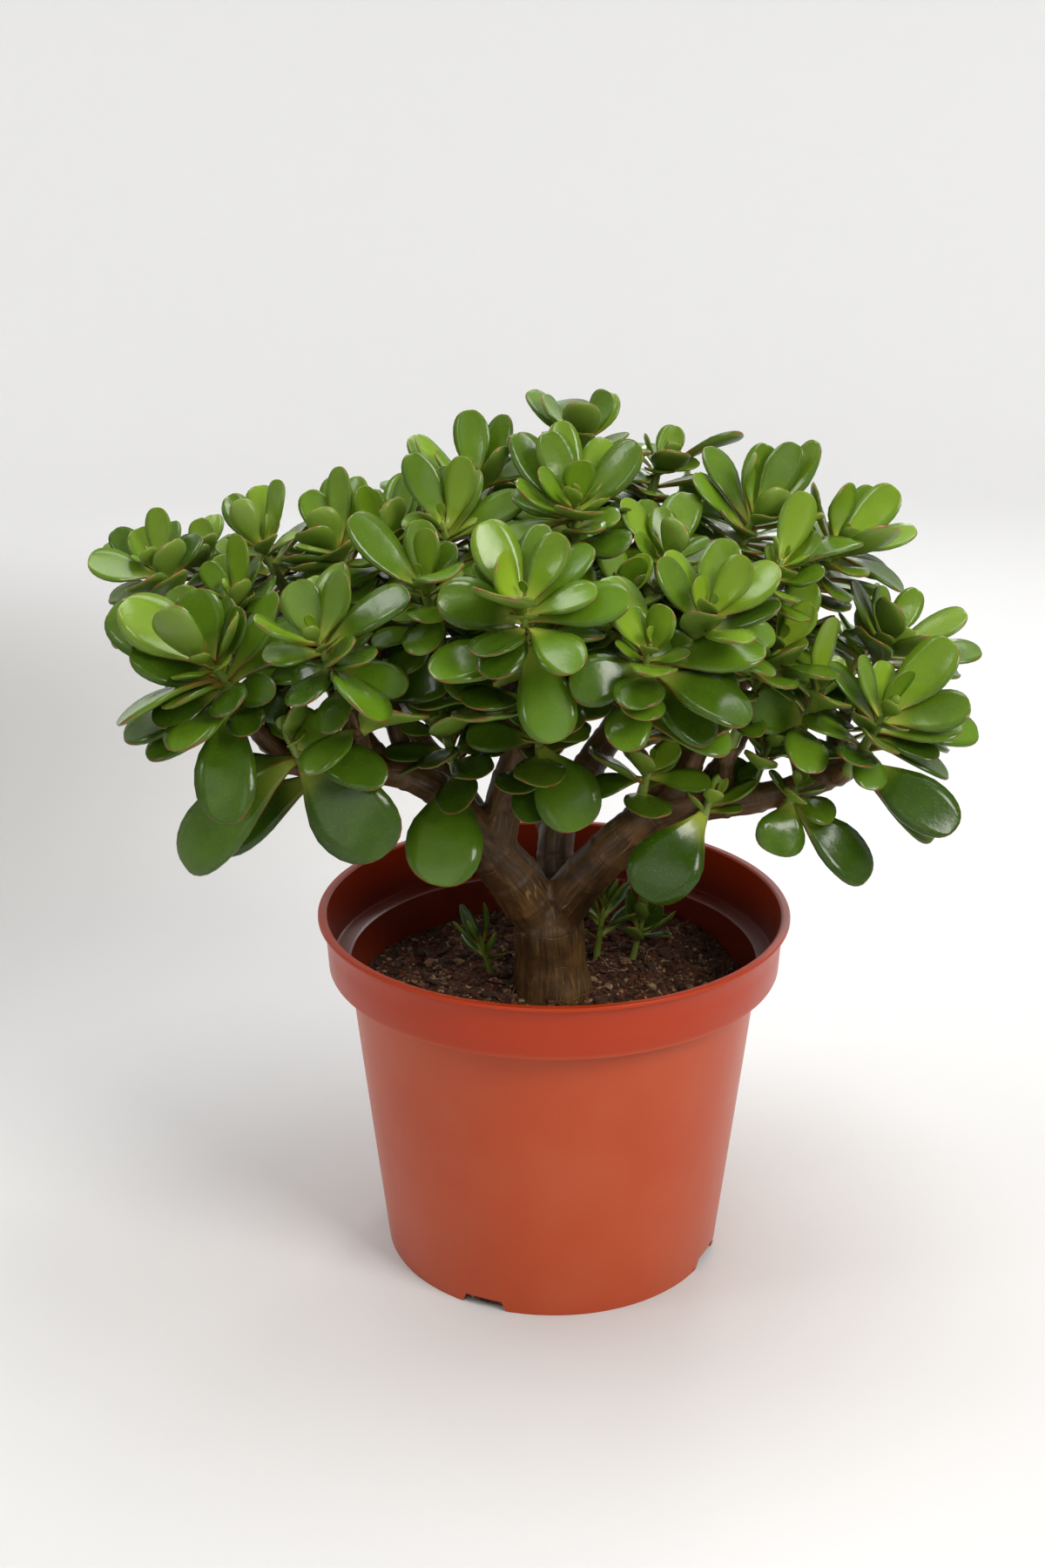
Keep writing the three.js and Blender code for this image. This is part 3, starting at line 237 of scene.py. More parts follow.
@dataclass(frozen=True)
class PottingPeat:
    """Peat-based potting soil, loose and moist: dark brown crumbs with reddish and pale flecks, matt."""

    dark: str = "#1f110a"
    brown: str = "#583827"
    red: str = "#6e3b26"
    pale: str = "#8f7355"
    crumb: float = 2.2 * MM
    fleck: float = 1.76 * MM

    def build(self) -> bpy.types.Material:
        """Returns the soil's material."""
        material, tree, shader = new_material("moist_peat_potting_soil")
        place = place_of(tree, self.crumb)
        crumbs = add(tree, "TexNoise", {"Vector": place, "Detail": 4, "Scale": 1.0, "Roughness": 0.65})
        cells = add(tree, "TexVoronoi", {"Vector": place_of(tree, self.fleck), "Scale": 1.0}, "Color")
        red, green, _ = add(tree, "SeparateColor", {0: cells}).node.outputs
        flecked = layered(
            tree,
            self.dark,
            (crumbs, 0.35, 0.68, 1, self.brown),
            (red, 0.78, 0.9, 1, self.red),
            (green, 0.9, 0.95, 1, self.pale),
        )
        tree.links.new(flecked, shader.inputs["Base Color"])
        shader.inputs["Roughness"].default_value = 0.92
        shader.inputs["Specular IOR Level"].default_value = 0.25
        relief = add(tree, "Bump", {"Strength": 1, "Distance": 1.2 * MM, "Height": crumbs})
        tree.links.new(relief, shader.inputs["Normal"])
        return material


@dataclass(frozen=True)
class Chips:
    """Bits in the soil, each with its own tint: peat crumbs, bark chips and dry root fibres."""

    dark: str = "#2f1c12"
    tints: tuple[tuple[float, str], ...] = (
        (0.0, "#2f1c12"),
        (0.5, "#593927"),
        (0.8, "#7a452c"),
        (1.0, "#b39670"),
    )
    grain: float = 0.8 * MM

    def build(self) -> bpy.types.Material:
        """Returns the crumbs' material, which reads each bit's tint."""
        material, tree, shader = new_material("peat_crumbs_and_root_fibre")
        tint = add(tree, "Attribute", output="Fac", attribute_name="tint")
        own = add(tree, "ValToRGB", {0: tint})
        marks = own.node.color_ramp.elements
        while len(marks) < len(self.tints):
            marks.new(0.5)
        for mark, (place, colour) in zip(marks, self.tints):
            mark.position = place
            mark.color = linear(colour)
        grain = add(tree, "TexNoise", {"Vector": place_of(tree, self.grain), "Detail": 3, **NOISE})
        grained = layered(tree, self.dark, (grain, 0.3, 0.7, 1, own))
        tree.links.new(grained, shader.inputs["Base Color"])
        shader.inputs["Roughness"].default_value = 0.85
        shader.inputs["Specular IOR Level"].default_value = 0.3
        relief = add(tree, "Bump", {"Strength": 0.8, "Distance": 0.3 * MM, "Height": grain})
        tree.links.new(relief, shader.inputs["Normal"])
        return material


@dataclass(frozen=True)
class JadeBark:
    """Living bark of a succulent stem: smooth thin brown skin with pale ring scars and fine cracks."""

    dark: str = "#453018"
    brown: str = "#6b4b27"
    grey: str = "#75603c"
    scar: str = "#93794f"
    crack: str = "#a8834a"
    furrow: str = "#2c1c0c"
    cloud: float = 16 * MM
    patch: float = 30 * MM
    ring: float = 19 * MM  # distance between ring scars
    crack_gap: float = 5 * MM
    streak: float = 1.6 * MM
    grain: float = 1.1 * MM
    wander: float = 5 * MM  # how far a ring strays along the limb
    wander_size: float = 9 * MM
    gap_size: float = 14 * MM
    cracked_patch: float = 34 * MM

    def rings(
        self, tree: bpy.types.NodeTree, along: bpy.types.NodeSocket
    ) -> tuple[bpy.types.NodeSocket, bpy.types.NodeSocket]:
        """Ring scars, where pairs of leaves once stood, broken round the limb, each with a crease beside it.

        Args:
            tree: The material's node tree.
            along: Distance along the limb.

        Returns:
            Strength of the pale scar and strength of the dark crease.
        """
        strays = add(tree, "TexNoise", {"Vector": place_of(tree, self.wander_size), "Detail": 2, **NOISE})
        shifted = add(tree, "Math", {0: strays, 1: self.wander, 2: along}, operation="MULTIPLY_ADD")
        turns = add(tree, "Math", {0: shifted, 1: 1 / self.ring}, operation="MULTIPLY")
        saw = add(tree, "Math", {0: turns}, operation="FRACT")
        centred = add(tree, "Math", {0: saw, 1: 0.5}, operation="SUBTRACT")
        away = add(tree, "Math", {0: centred}, operation="ABSOLUTE")
        line = add(tree, "MapRange", {"Value": away, "From Min": 0.028, "From Max": 0.005}, **SMOOTH)
        beside = add(tree, "Math", {0: saw, 1: 0.545, 2: 0.03}, operation="COMPARE")
        gaps = add(tree, "TexNoise", {"Vector": place_of(tree, self.gap_size), "Detail": 2, **NOISE})
        broken = add(tree, "MapRange", {"Value": gaps, "From Min": 0.46, "From Max": 0.6}, **SMOOTH)
        scar = add(tree, "Math", {0: line, 1: broken}, **PRODUCT)
        crease = add(tree, "Math", {0: beside, 1: broken}, **PRODUCT)
        return scar, crease

    def cracks(self, tree: bpy.types.NodeTree, grown: bpy.types.NodeSocket) -> bpy.types.NodeSocket:
        """Fine cracks that run along the limb where the skin has stretched.

        Args:
            tree: The material's node tree.
            grown: Coordinates round and along the limb.

        Returns:
            Their strength.
        """
        scale = (1 / self.crack_gap, 1 / self.crack_gap, 0.12 / self.crack_gap)
        stretched = add(tree, "Mapping", {"Vector": grown, "Scale": scale})
        cells = add(
            tree, "TexVoronoi", {"Vector": stretched, "Scale": 1.0}, "Distance", feature="DISTANCE_TO_EDGE"
        )
        thin = add(tree, "MapRange", {"Value": cells, "From Min": 0.05, "From Max": 0.0}, **SMOOTH)
        patches = add(tree, "TexNoise", {"Vector": place_of(tree, self.cracked_patch), "Detail": 2, **NOISE})
        where = add(tree, "MapRange", {"Value": patches, "From Min": 0.54, "From Max": 0.66}, **SMOOTH)
        return add(tree, "Math", {0: thin, 1: where}, **PRODUCT)

    def build(self) -> bpy.types.Material:
        """Returns the bark's material, which reads the coordinates along and round each limb."""
        material, tree, shader = new_material("smooth_succulent_bark")
        grown = add(tree, "Attribute", output="Vector", attribute_name="grown")
        place = place_of(tree, self.cloud)
        clouds = add(tree, "TexNoise", {"Vector": place, "Detail": 4, "Scale": 1.0, "Roughness": 0.6})
        patches = add(tree, "TexNoise", {"Vector": place_of(tree, self.patch), "Detail": 3, **NOISE})
        ringed, creased = self.rings(tree, add(tree, "SeparateXYZ", {0: grown}, 2))
        cracks = self.cracks(tree, grown)
        # The skin is drawn out lengthwise into dark and light threads.
        scale = (1 / self.streak, 1 / self.streak, 0.07 / self.streak)
        drawn = add(tree, "Mapping", {"Vector": grown, "Scale": scale})
        threads = add(tree, "TexNoise", {"Vector": drawn, "Detail": 4, "Scale": 1.0, "Roughness": 0.65})
        fine = add(tree, "TexNoise", {"Vector": place_of(tree, self.grain), "Detail": 3, **NOISE})
        grained = layered(
            tree,
            self.dark,
            (clouds, 0.32, 0.7, 1, self.brown),
            (patches, 0.5, 0.75, 0.28, self.grey),
            (ringed, 0, 0, 0.4, self.scar),
            (creased, 0, 0, 0.5, self.dark),
            (cracks, 0, 0, 0.6, self.crack),
            (threads, 0.52, 0.36, 0.6, self.furrow),
            (threads, 0.56, 0.72, 0.5, self.scar),
            (fine, 0.5, 0.8, 0.3, self.dark),
        )
        tree.links.new(grained, shader.inputs["Base Color"])
        shader.inputs["Roughness"].default_value = 0.5
        shader.inputs["IOR"].default_value = 1.45
        raised = add(tree, "Math", {0: ringed, 1: 0.6, 2: clouds}, operation="MULTIPLY_ADD")
        cut = add(tree, "Math", {0: raised, 1: cracks}, operation="SUBTRACT")
        relief = add(tree, "Bump", {"Strength": 0.8, "Distance": 0.5 * MM, "Height": cut})
        tree.links.new(relief, shader.inputs["Normal"])
        return material


@dataclass(frozen=True)
class JadeLeaf:
    """A succulent leaf: thick, waxy and glossy, paler at its base and below, with a thin red-brown margin."""

    deep: str = "#2d4609"
    mid: str = "#567717"
    bright: str = "#5f8019"
    young: str = "#86a228"
    base: str = "#a5b246"
    back: str = "#6e8433"
    margin: str = "#7c3c1b"
    stem: str = "#74893a"
    roughness: tuple[float, float] = (0.12, 0.3)
    cloud: float = 14 * MM
    pore: float = 1.7 * MM
    wax: float = 6 * MM
    ripple: float = 5 * MM

    def build(self) -> bpy.types.Material:
        """Returns the leaves' material, which reads each blade's own coordinates and age."""
        material, tree, shader = new_material("waxy_jade_leaf")
        blade = add(tree, "Attribute", output="Vector", attribute_name="blade")
        along, across, face = add(tree, "SeparateXYZ", {0: blade}).node.outputs
        traits = add(tree, "Attribute", output="Vector", attribute_name="traits")
        age, tint, rim = add(tree, "SeparateXYZ", {0: traits}).node.outputs
        clouds = add(tree, "TexNoise", {"Vector": place_of(tree, self.cloud), "Detail": 3, **NOISE})
        shade = add(tree, "Math", {0: clouds, 1: 0.5, 2: tint}, operation="MULTIPLY_ADD")
        away = add(tree, "Math", {0: across}, operation="ABSOLUTE")
        behind = add(tree, "MapRange", {"Value": face, "From Min": 0.1, "From Max": -0.5}, **SMOOTH)
        pores = add(tree, "TexVoronoi", {"Vector": place_of(tree, self.pore), "Scale": 1.0}, "Distance")
        outer = add(tree, "MapRange", {"Value": rim, "From Min": 0.64, "From Max": 0.95}, **SMOOTH)
        uneven = add(tree, "MapRange", {"Value": clouds, "From Min": 0.2, "From Max": 0.5}, **SMOOTH)
        red = add(tree, "Math", {0: outer, 1: uneven}, **PRODUCT)
        fresh = layered(tree, self.bright, (shade, 0.2, 1.3, 1, self.young))
        # The green is painted deeper towards the margin: painted shade at the rim, which leaves the thicker
        # middle lighter, as if more light passed through it. Tiny pale breathing pores dot the blade, drawn
        # wider than real so that they show.
        colour = layered(
            tree,
            self.deep,
            (shade, 0.25, 1.2, 1, self.mid),
            (age, 0, 0, 1, fresh),
            # painted shade: the green deepens towards the margin
            (away, 0.4, 1.1, 0.45, self.deep),
            (behind, 0, 0, 0.65, self.back),
            (along, 0.4, 0.04, 0.85, self.base),
            (pores, 0.2, 0.06, 0.3, self.base),
            (red, 0, 0, 0.9, self.margin),
            (along, -0.4, -0.6, 1, self.stem),
        )
        tree.links.new(colour, shader.inputs["Base Color"])
        # The wax lies unevenly, and thinner on the back.
        wax = add(tree, "TexNoise", {"Vector": place_of(tree, self.wax), "Detail": 3, **NOISE})
        smooth, dull = self.roughness
        rough = add(tree, "MapRange", {"Value": wax, "To Min": smooth, "To Max": dull})
        duller = add(tree, "Math", {0: behind, 1: 0.14}, **PRODUCT)
        total = add(tree, "Math", {0: rough, 1: duller}, operation="ADD", use_clamp=True)
        tree.links.new(total, shader.inputs["Roughness"])
        shader.inputs["IOR"].default_value = 1.45
        shader.inputs["Specular IOR Level"].default_value = 0.4
        shader.inputs["Subsurface Weight"].default_value = 0.12
        shader.inputs["Subsurface Radius"].default_value = (0.35, 0.8, 0.12)
        shader.inputs["Subsurface Scale"].default_value = 3 * MM
        ripple = add(tree, "TexNoise", {"Vector": place_of(tree, self.ripple), "Detail": 3, **NOISE})
        relief = add(tree, "Bump", {"Strength": 0.6, "Distance": 0.25 * MM, "Height": ripple})
        tree.links.new(relief, shader.inputs["Normal"])
        return material


@dataclass(frozen=True)
class StudioPaper:
    """Seamless background paper, matt: white, with a painted shadow that makes it greyer at the left."""

    white: str = "#d4d4d4"
    grey: str = "#a7a6a4"
    shade_at: tuple[float, float, float] = (-0.75, 0.85, 0.05)
    shade_reach: tuple[float, float] = (1.1, 0.1)
    tooth: float = 2 * MM

    def build(self) -> bpy.types.Material:
        """Returns the backdrop's material."""
        material, tree, shader = new_material("matt_background_paper")
        place = add(tree, "TexCoord", output="Object")
        away = add(tree, "VectorMath", {0: place, 1: self.shade_at}, "Value", operation="DISTANCE")
        far, near = self.shade_reach
        # painted shadow: greyer round a spot at the back left, for the plant's shadow on the paper
        tone = layered(tree, self.white, (away, far, near, 1, self.grey))
        tree.links.new(tone, shader.inputs["Base Color"])
        shader.inputs["Roughness"].default_value = 0.9
        shader.inputs["Specular IOR Level"].default_value = 0.1
        tooth = add(tree, "TexNoise", {"Vector": place_of(tree, self.tooth), "Detail": 2, **NOISE})
        relief = add(tree, "Bump", {"Strength": 0.3, "Distance": 0.05 * MM, "Height": tooth})
        tree.links.new(relief, shader.inputs["Normal"])
        return material


class Slot(Enum):
    """The record's material slots."""

    PLASTIC = "terracotta_plastic"
    SOIL = "potting_soil"
    BARK = "bark"
    LEAF = "leaf"


# ---- meshes --------------------------------------------------------------------------------------


def deselect() -> None:
    """Leaves object mode with nothing selected."""
    if bpy.context.object and bpy.context.object.mode != "OBJECT":
        bpy.ops.object.mode_set(mode="OBJECT")
    bpy.ops.object.select_all(action="DESELECT")


def only(piece: bpy.types.Object) -> bpy.types.Object:
    """Selects one piece alone and makes it the active one.

    Args:
        piece: The piece.

    Returns:
        The same piece.
    """
    deselect()
    piece.select_set(True)
    bpy.context.view_layer.objects.active = piece
    return piece


def mesh_piece(name: str, points: np.ndarray, faces: Iterable[Sequence[int]]) -> bpy.types.Object:
    """Makes a mesh object with smooth faces.

    Args:
        name: The piece's name.
        points: One row of three metres a vertex.
        faces: Vertex numbers of each face.

    Returns:
        The new object, linked to the scene.
    """
    mesh = bpy.data.meshes.new(name)
    mesh.from_pydata([tuple(p) for p in points], [], [tuple(f) for f in faces])
    mesh.polygons.foreach_set("use_smooth", [True] * len(mesh.polygons))
    piece = bpy.data.objects.new(name, mesh)
    bpy.context.collection.objects.link(piece)
    return piece


def points_of(mesh: bpy.types.Mesh) -> np.ndarray:
    """Returns a mesh's vertices as rows of three metres."""
    flat = np.empty(len(mesh.vertices) * 3)
    mesh.vertices.foreach_get("co", flat)
    return flat.reshape(-1, 3)


def place_points(mesh: bpy.types.Mesh, points: np.ndarray) -> None:
    """Moves a mesh's vertices to the given rows."""
    mesh.vertices.foreach_set("co", np.asarray(points, dtype=float).ravel())
    mesh.update()


def give_vector(mesh: bpy.types.Mesh, name: str, rows: np.ndarray) -> None:
    """Stores one vector a vertex under a name that a material reads."""
    layer = mesh.attributes.new(name, "FLOAT_VECTOR", "POINT")
    layer.data.foreach_set("vector", np.asarray(rows, dtype=float).ravel())


def apply_modifier(piece: bpy.types.Object, kind: str, **settings) -> None:
    """Adds a modifier and applies it at once.

    Args:
        piece: The piece.
        kind: The type of the modifier.
        **settings: The modifier's own properties.
    """
    only(piece)
    modifier = piece.modifiers.new(kind.lower(), kind)
    for key, value in settings.items():
        setattr(modifier, key, value)
    bpy.ops.object.modifier_apply(modifier=modifier.name)


def apply_place(piece: bpy.types.Object) -> None:
    """Moves a piece's place and turn into its mesh."""
    only(piece)
    bpy.ops.object.transform_apply(location=True, rotation=True, scale=True)


def merged_copy(node: str) -> tuple[np.ndarray, list[set[int]]]:
    """Reads a node's mesh with its loose triangles merged.

    Args:
        node: Name of the node in the frame.

    Returns:
        The vertices and, for each one, the vertices that share an edge with it.
    """
    net = bmesh.new()
    net.from_mesh(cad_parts[node].data)
    bmesh.ops.remove_doubles(net, verts=net.verts, dist=2e-6)
    net.verts.index_update()
    points = np.array([tuple(v.co) for v in net.verts])
    near = [{e.other_vert(v).index for e in v.link_edges} for v in net.verts]
    net.free()
    return points, near


def unit(vector: np.ndarray) -> np.ndarray:
    """Returns a vector of length one."""
    return vector / np.linalg.norm(vector)


def frame_round(axis: np.ndarray) -> tuple[np.ndarray, np.ndarray]:
    """Returns two directions square to an axis and to each other."""
    guess = np.array([0.0, 1.0, 0.0]) if abs(axis[1]) < 0.9 else np.array([1.0, 0.0, 0.0])
    side = unit(np.cross(guess, axis))
    return side, np.cross(axis, side)


def finish_piece(piece: bpy.types.Object, material: bpy.types.Material, slot: Slot, *nodes: str) -> None:
    """Dresses a piece, rides it on the body and hides the frame's nodes that it replaces.

    Args:
        piece: The finished piece.
        material: Its finish.
        slot: The record's slot; not used.
        *nodes: The frame's nodes that it replaces.
    """
    piece.data.materials.clear()
    piece.data.materials.append(material)
    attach(piece, "root")
    if nodes:
        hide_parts(*nodes)
    LOG.info("%s: %d faces", piece.name, len(piece.data.polygons))


# ---- the plant's layout, in millimetres ----------------------------------------------------------

# Centreline points with their radius: x, y, z, r.
LIMBS: dict[str, list[tuple[float, float, float, float]]] = {
    "trunk": [
        (-2, -8, 118, 21.6), (-2, -8, 170, 21.3), (-2, -8, 185, 20.4), (-3, -8, 200, 20.6), (-3, -8, 214, 18),
    ],
    "left": [(-4, -8, 200, 16), (-20, -14, 228, 16), (-34, -19, 249, 14.5), (-46, -22, 264, 11)],
    "leftLow": [
        (-36, -19, 250, 12), (-58, -25, 284, 10.2), (-85, -35, 303, 8), (-112, -48, 309, 7),
        (-146, -58, 317, 6.2),
    ],
    "leftHigh": [
        (-34, -19, 248, 12.5), (-29, -15, 275, 11), (-20, -11, 304, 10), (-9, -4, 338, 8.4), (2, 0, 372, 7),
    ],
    "right": [
        (-2, -8, 204, 15), (22, -16, 240, 13.5), (58, -25, 276, 11.5), (85, -29, 283, 9.6),
        (110, -33, 288, 8.6), (136, -39, 297, 7.4), (158, -46, 310, 6.4),
    ],
    "middle": [
        (1, 2, 206, 12), (3, 20, 250, 10.5), (16, 32, 276, 9.6), (32, 42, 298, 8.6), (52, 52, 330, 7.4),
    ],
    "rightHigh": [(50, -22, 266, 8), (58, -14, 300, 7.4), (74, -20, 335, 6.6), (84, -26, 362, 6)],
    "back": [(2, 16, 238, 9.5), (-8, 48, 272, 8.4), (-18, 84, 306, 7.2), (-26, 108, 334, 6.4)],
    "backLeft": [(-28, -12, 242, 9.5), (-60, 22, 280, 8.2), (-100, 52, 312, 7.2), (-132, 76, 336, 6.2)],
    "backRight": [(34, -16, 252, 9), (68, 22, 284, 8), (100, 58, 312, 7), (122, 82, 334, 6.2)],
}

# Leafy heads: centre of the rosette, length of green stem below it, and the limb that carries it.
HEADS: dict[str, tuple[tuple[float, float, float], float, str]] = {
    "head_left_front": ((-177, -70, 375), 40, "leftLow"),
    "head_left_far": ((-214, -10, 409), 42, "leftLow"),
    "head_left_back": ((-196, 40, 404), 40, "backLeft"),
    "head_left_inner": ((-172, -25, 394), 34, "leftLow"),
    "head_left_top": ((-158, 0, 419), 40, "leftLow"),
    "head_front_left": ((-120, -90, 392), 40, "leftLow"),
    "head_mid_left": ((-116, -10, 421), 42, "leftLow"),
    "head_mid_left_top": ((-90, -10, 426), 44, "leftHigh"),
    "head_front_mid": ((-68, -70, 414), 44, "leftHigh"),
    "head_mid_top": ((-58, -40, 437), 46, "leftHigh"),
    "head_top_left": ((-44, 10, 450), 46, "leftHigh"),
    "head_front_centre": ((-17, -110, 416), 46, "leftHigh"),
    "head_top_front": ((10, -50, 452), 46, "leftHigh"),
    "head_top": ((14, 10, 474), 44, "leftHigh"),
    "head_top_right": ((57, 40, 456), 44, "middle"),
    "head_mid_right": ((58, -40, 422), 42, "rightHigh"),
    "head_front_centre_inner": ((36, -70, 409), 34, "rightHigh"),
    "head_front_right_low": ((44, -120, 395), 44, "rightHigh"),
    "head_front_right": ((72, -110, 410), 46, "rightHigh"),
    "head_right_top": ((105, -10, 438), 50, "right"),
    "head_right_mid": ((115, -40, 417), 44, "right"),
    "head_right_back": ((152, 10, 417), 48, "right"),
    "head_right_front": ((171, -60, 342), 34, "right"),
    "head_right_far": ((183, 0, 365), 44, "right"),
    "head_right_inner": ((114, -50, 375), 58, "right"),
    "shoot_right_front": ((139, -46, 349), 24, "right"),
    "shoot_right_limb": ((115, -32, 315), 20, "right"),
    "shoot_middle": ((50, -34, 302), 20, "right"),
    "shoot_left_limb": ((-60, -34, 328), 38, "leftLow"),
    "shoot_centre": ((-9, -52, 330), 42, "leftHigh"),
    "shoot_left_low": ((-140, -68, 334), 17, "leftLow"),
    "shoot_right_low": ((128, -50, 296), 9, "right"),
    "leaf_left_limb": ((-126, -46, 309), 12, "leftLow"),
    "leaf_right_limb": ((82, -46, 288), 12, "right"),
    "head_far_1": ((-178, 88, 372), 34, "backLeft"),
    "head_far_2": ((-128, 118, 388), 40, "backLeft"),
    "head_far_3": ((-110, 58, 410), 52, "backLeft"),
    "head_far_4": ((-66, 100, 412), 52, "back"),
    "head_far_5": ((-30, 152, 378), 36, "back"),
    "head_far_6": ((-6, 84, 432), 60, "back"),
    "head_far_7": ((36, 132, 398), 50, "back"),
    "head_far_8": ((82, 92, 418), 56, "backRight"),
    "head_far_9": ((112, 130, 372), 34, "backRight"),
    "head_far_10": ((146, 66, 398), 46, "backRight"),
    "head_far_11": ((182, 62, 348), 32, "backRight"),
    "head_far_12": ((-84, 150, 340), 34, "backLeft"),
}

# Seedling shoots beside the trunk: foot, height and lean.
SEEDLINGS: dict[str, tuple[tuple[float, float], float, tuple[float, float]]] = {
    "seedling_left": ((-34, 13), 21, (-0.25, -0.05)),
    "seedling_right": ((25, 30), 33, (0.12, 0)),
    "seedling_right_low": ((46, 30), 25, (0.2, -0.1)),
}


class SmoothCurve:
    """A smooth curve through rows of x, y, z and radius, which doesn't swing out between them."""

    def __init__(self, rows: Sequence[Sequence[float]]) -> None:
        """Adds a point before the first and one after the last.

        Args:
            rows: Points and radii in millimetres.
        """
        points = np.array(rows, dtype=float)
        ends = [2 * points[0] - points[1], 2 * points[-1] - points[-2]]
        ends[0][3], ends[1][3] = points[0][3], points[-1][3]
        self.rows = np.vstack([ends[0], points, ends[1]])
        self.spans = len(points) - 1

    def at(self, t: float) -> np.ndarray:
        """A point of the curve and its radius.

        Args:
            t: Share of the way, each span taking the same share.

        Returns:
            x, y, z and radius.
        """
        place = min(max(t, 0.0), 1.0) * self.spans
        k = min(int(place), self.spans - 1)
        a, b, c, d = self.rows[k : k + 4]
        knots = [0.0]
        for p, q in ((a, b), (b, c), (c, d)):
            knots.append(knots[-1] + np.linalg.norm(q[:3] - p[:3]) ** 0.5)
        k0, k1, k2, k3 = knots
        s = k1 + (place - k) * (k2 - k1)
        ab = ((k1 - s) * a + (s - k0) * b) / (k1 - k0)
        bc = ((k2 - s) * b + (s - k1) * c) / (k2 - k1)
        cd = ((k3 - s) * c + (s - k2) * d) / (k3 - k2)
        abc = ((k2 - s) * ab + (s - k0) * bc) / (k2 - k0)
        bcd = ((k3 - s) * bc + (s - k1) * cd) / (k3 - k1)
        point = ((k2 - s) * abc + (s - k1) * bcd) / (k2 - k1)
        point[3] = b[3] + (c[3] - b[3]) * (place - k)
        return point

    def tangent(self, t: float) -> np.ndarray:
        """Returns the curve's direction at a share of the way."""
        low, high = max(t - 1e-4, 0), min(t + 1e-4, 1)
        return unit(self.at(high)[:3] - self.at(low)[:3])

    def sampled(self, step_mm: float) -> np.ndarray:
        """Walks along the curve in even steps.

        Args:
            step_mm: About how far apart the rows are.

        Returns:
            Rows of x, y, z and radius.
        """
        rough = np.array([self.at(t) for t in np.linspace(0, 1, 60)])
        length = np.linalg.norm(np.diff(rough[:, :3], axis=0), axis=1).sum()
        count = max(4, int(length / step_mm))
        return np.array([self.at(t) for t in np.linspace(0, 1, count)])


def head_axis(at: Sequence[float]) -> np.ndarray:
    """A head leans outwards from the pot's axis, the more the further out it stands."""
    out = math.hypot(at[0], at[1])
    lean = math.tan(math.radians(8 + 0.11 * out))
    return unit(np.array([at[0] / out * lean, at[1] / out * lean, 1.0]))


def twig_rows(at: Sequence[float], stem: float, limb: str) -> np.ndarray:
    """The woody twig from a limb to the foot of a head's green stem.

    Args:
        at: The head's centre.
        stem: Length of the green stem.
        limb: Name of the limb that carries it.

    Returns:
        Rows of x, y, z and radius in millimetres.
    """
    curve = SmoothCurve(LIMBS[limb])
    axis = head_axis(at)
    foot = np.array(at, dtype=float) - axis * stem
    best = None
    for k in range(4, 19):
        t = k / 20
        start, along = curve.at(t), curve.tangent(t)
        way = foot - start[:3]
        reach = np.linalg.norm(way)
        cost = reach * (1 + 0.8 * (1 - way @ along / reach))
        if best is None or cost < best[0]:
            best = (cost, start, along, reach)
    _, start, along, reach = best
    ends = (start[:3], start[:3] + along * 0.3 * reach, foot - axis * 0.35 * reach, foot)
    radii = (max(4.6, min(0.72 * start[3], 6.5)), 5.2, 4.6)
    rows = []
    for t in np.linspace(0, 1, max(4, int(reach / 3))):
        shares = ((1 - t) ** 3, 3 * t * (1 - t) ** 2, 3 * t * t * (1 - t), t**3)
        point = sum(share * end for share, end in zip(shares, ends))
        radius = np.interp(t, (0, 0.5, 1), radii)
        rows.append([*point, radius])
    return np.array(rows)


# ---- pot -----------------------------------------------------------------------------------------


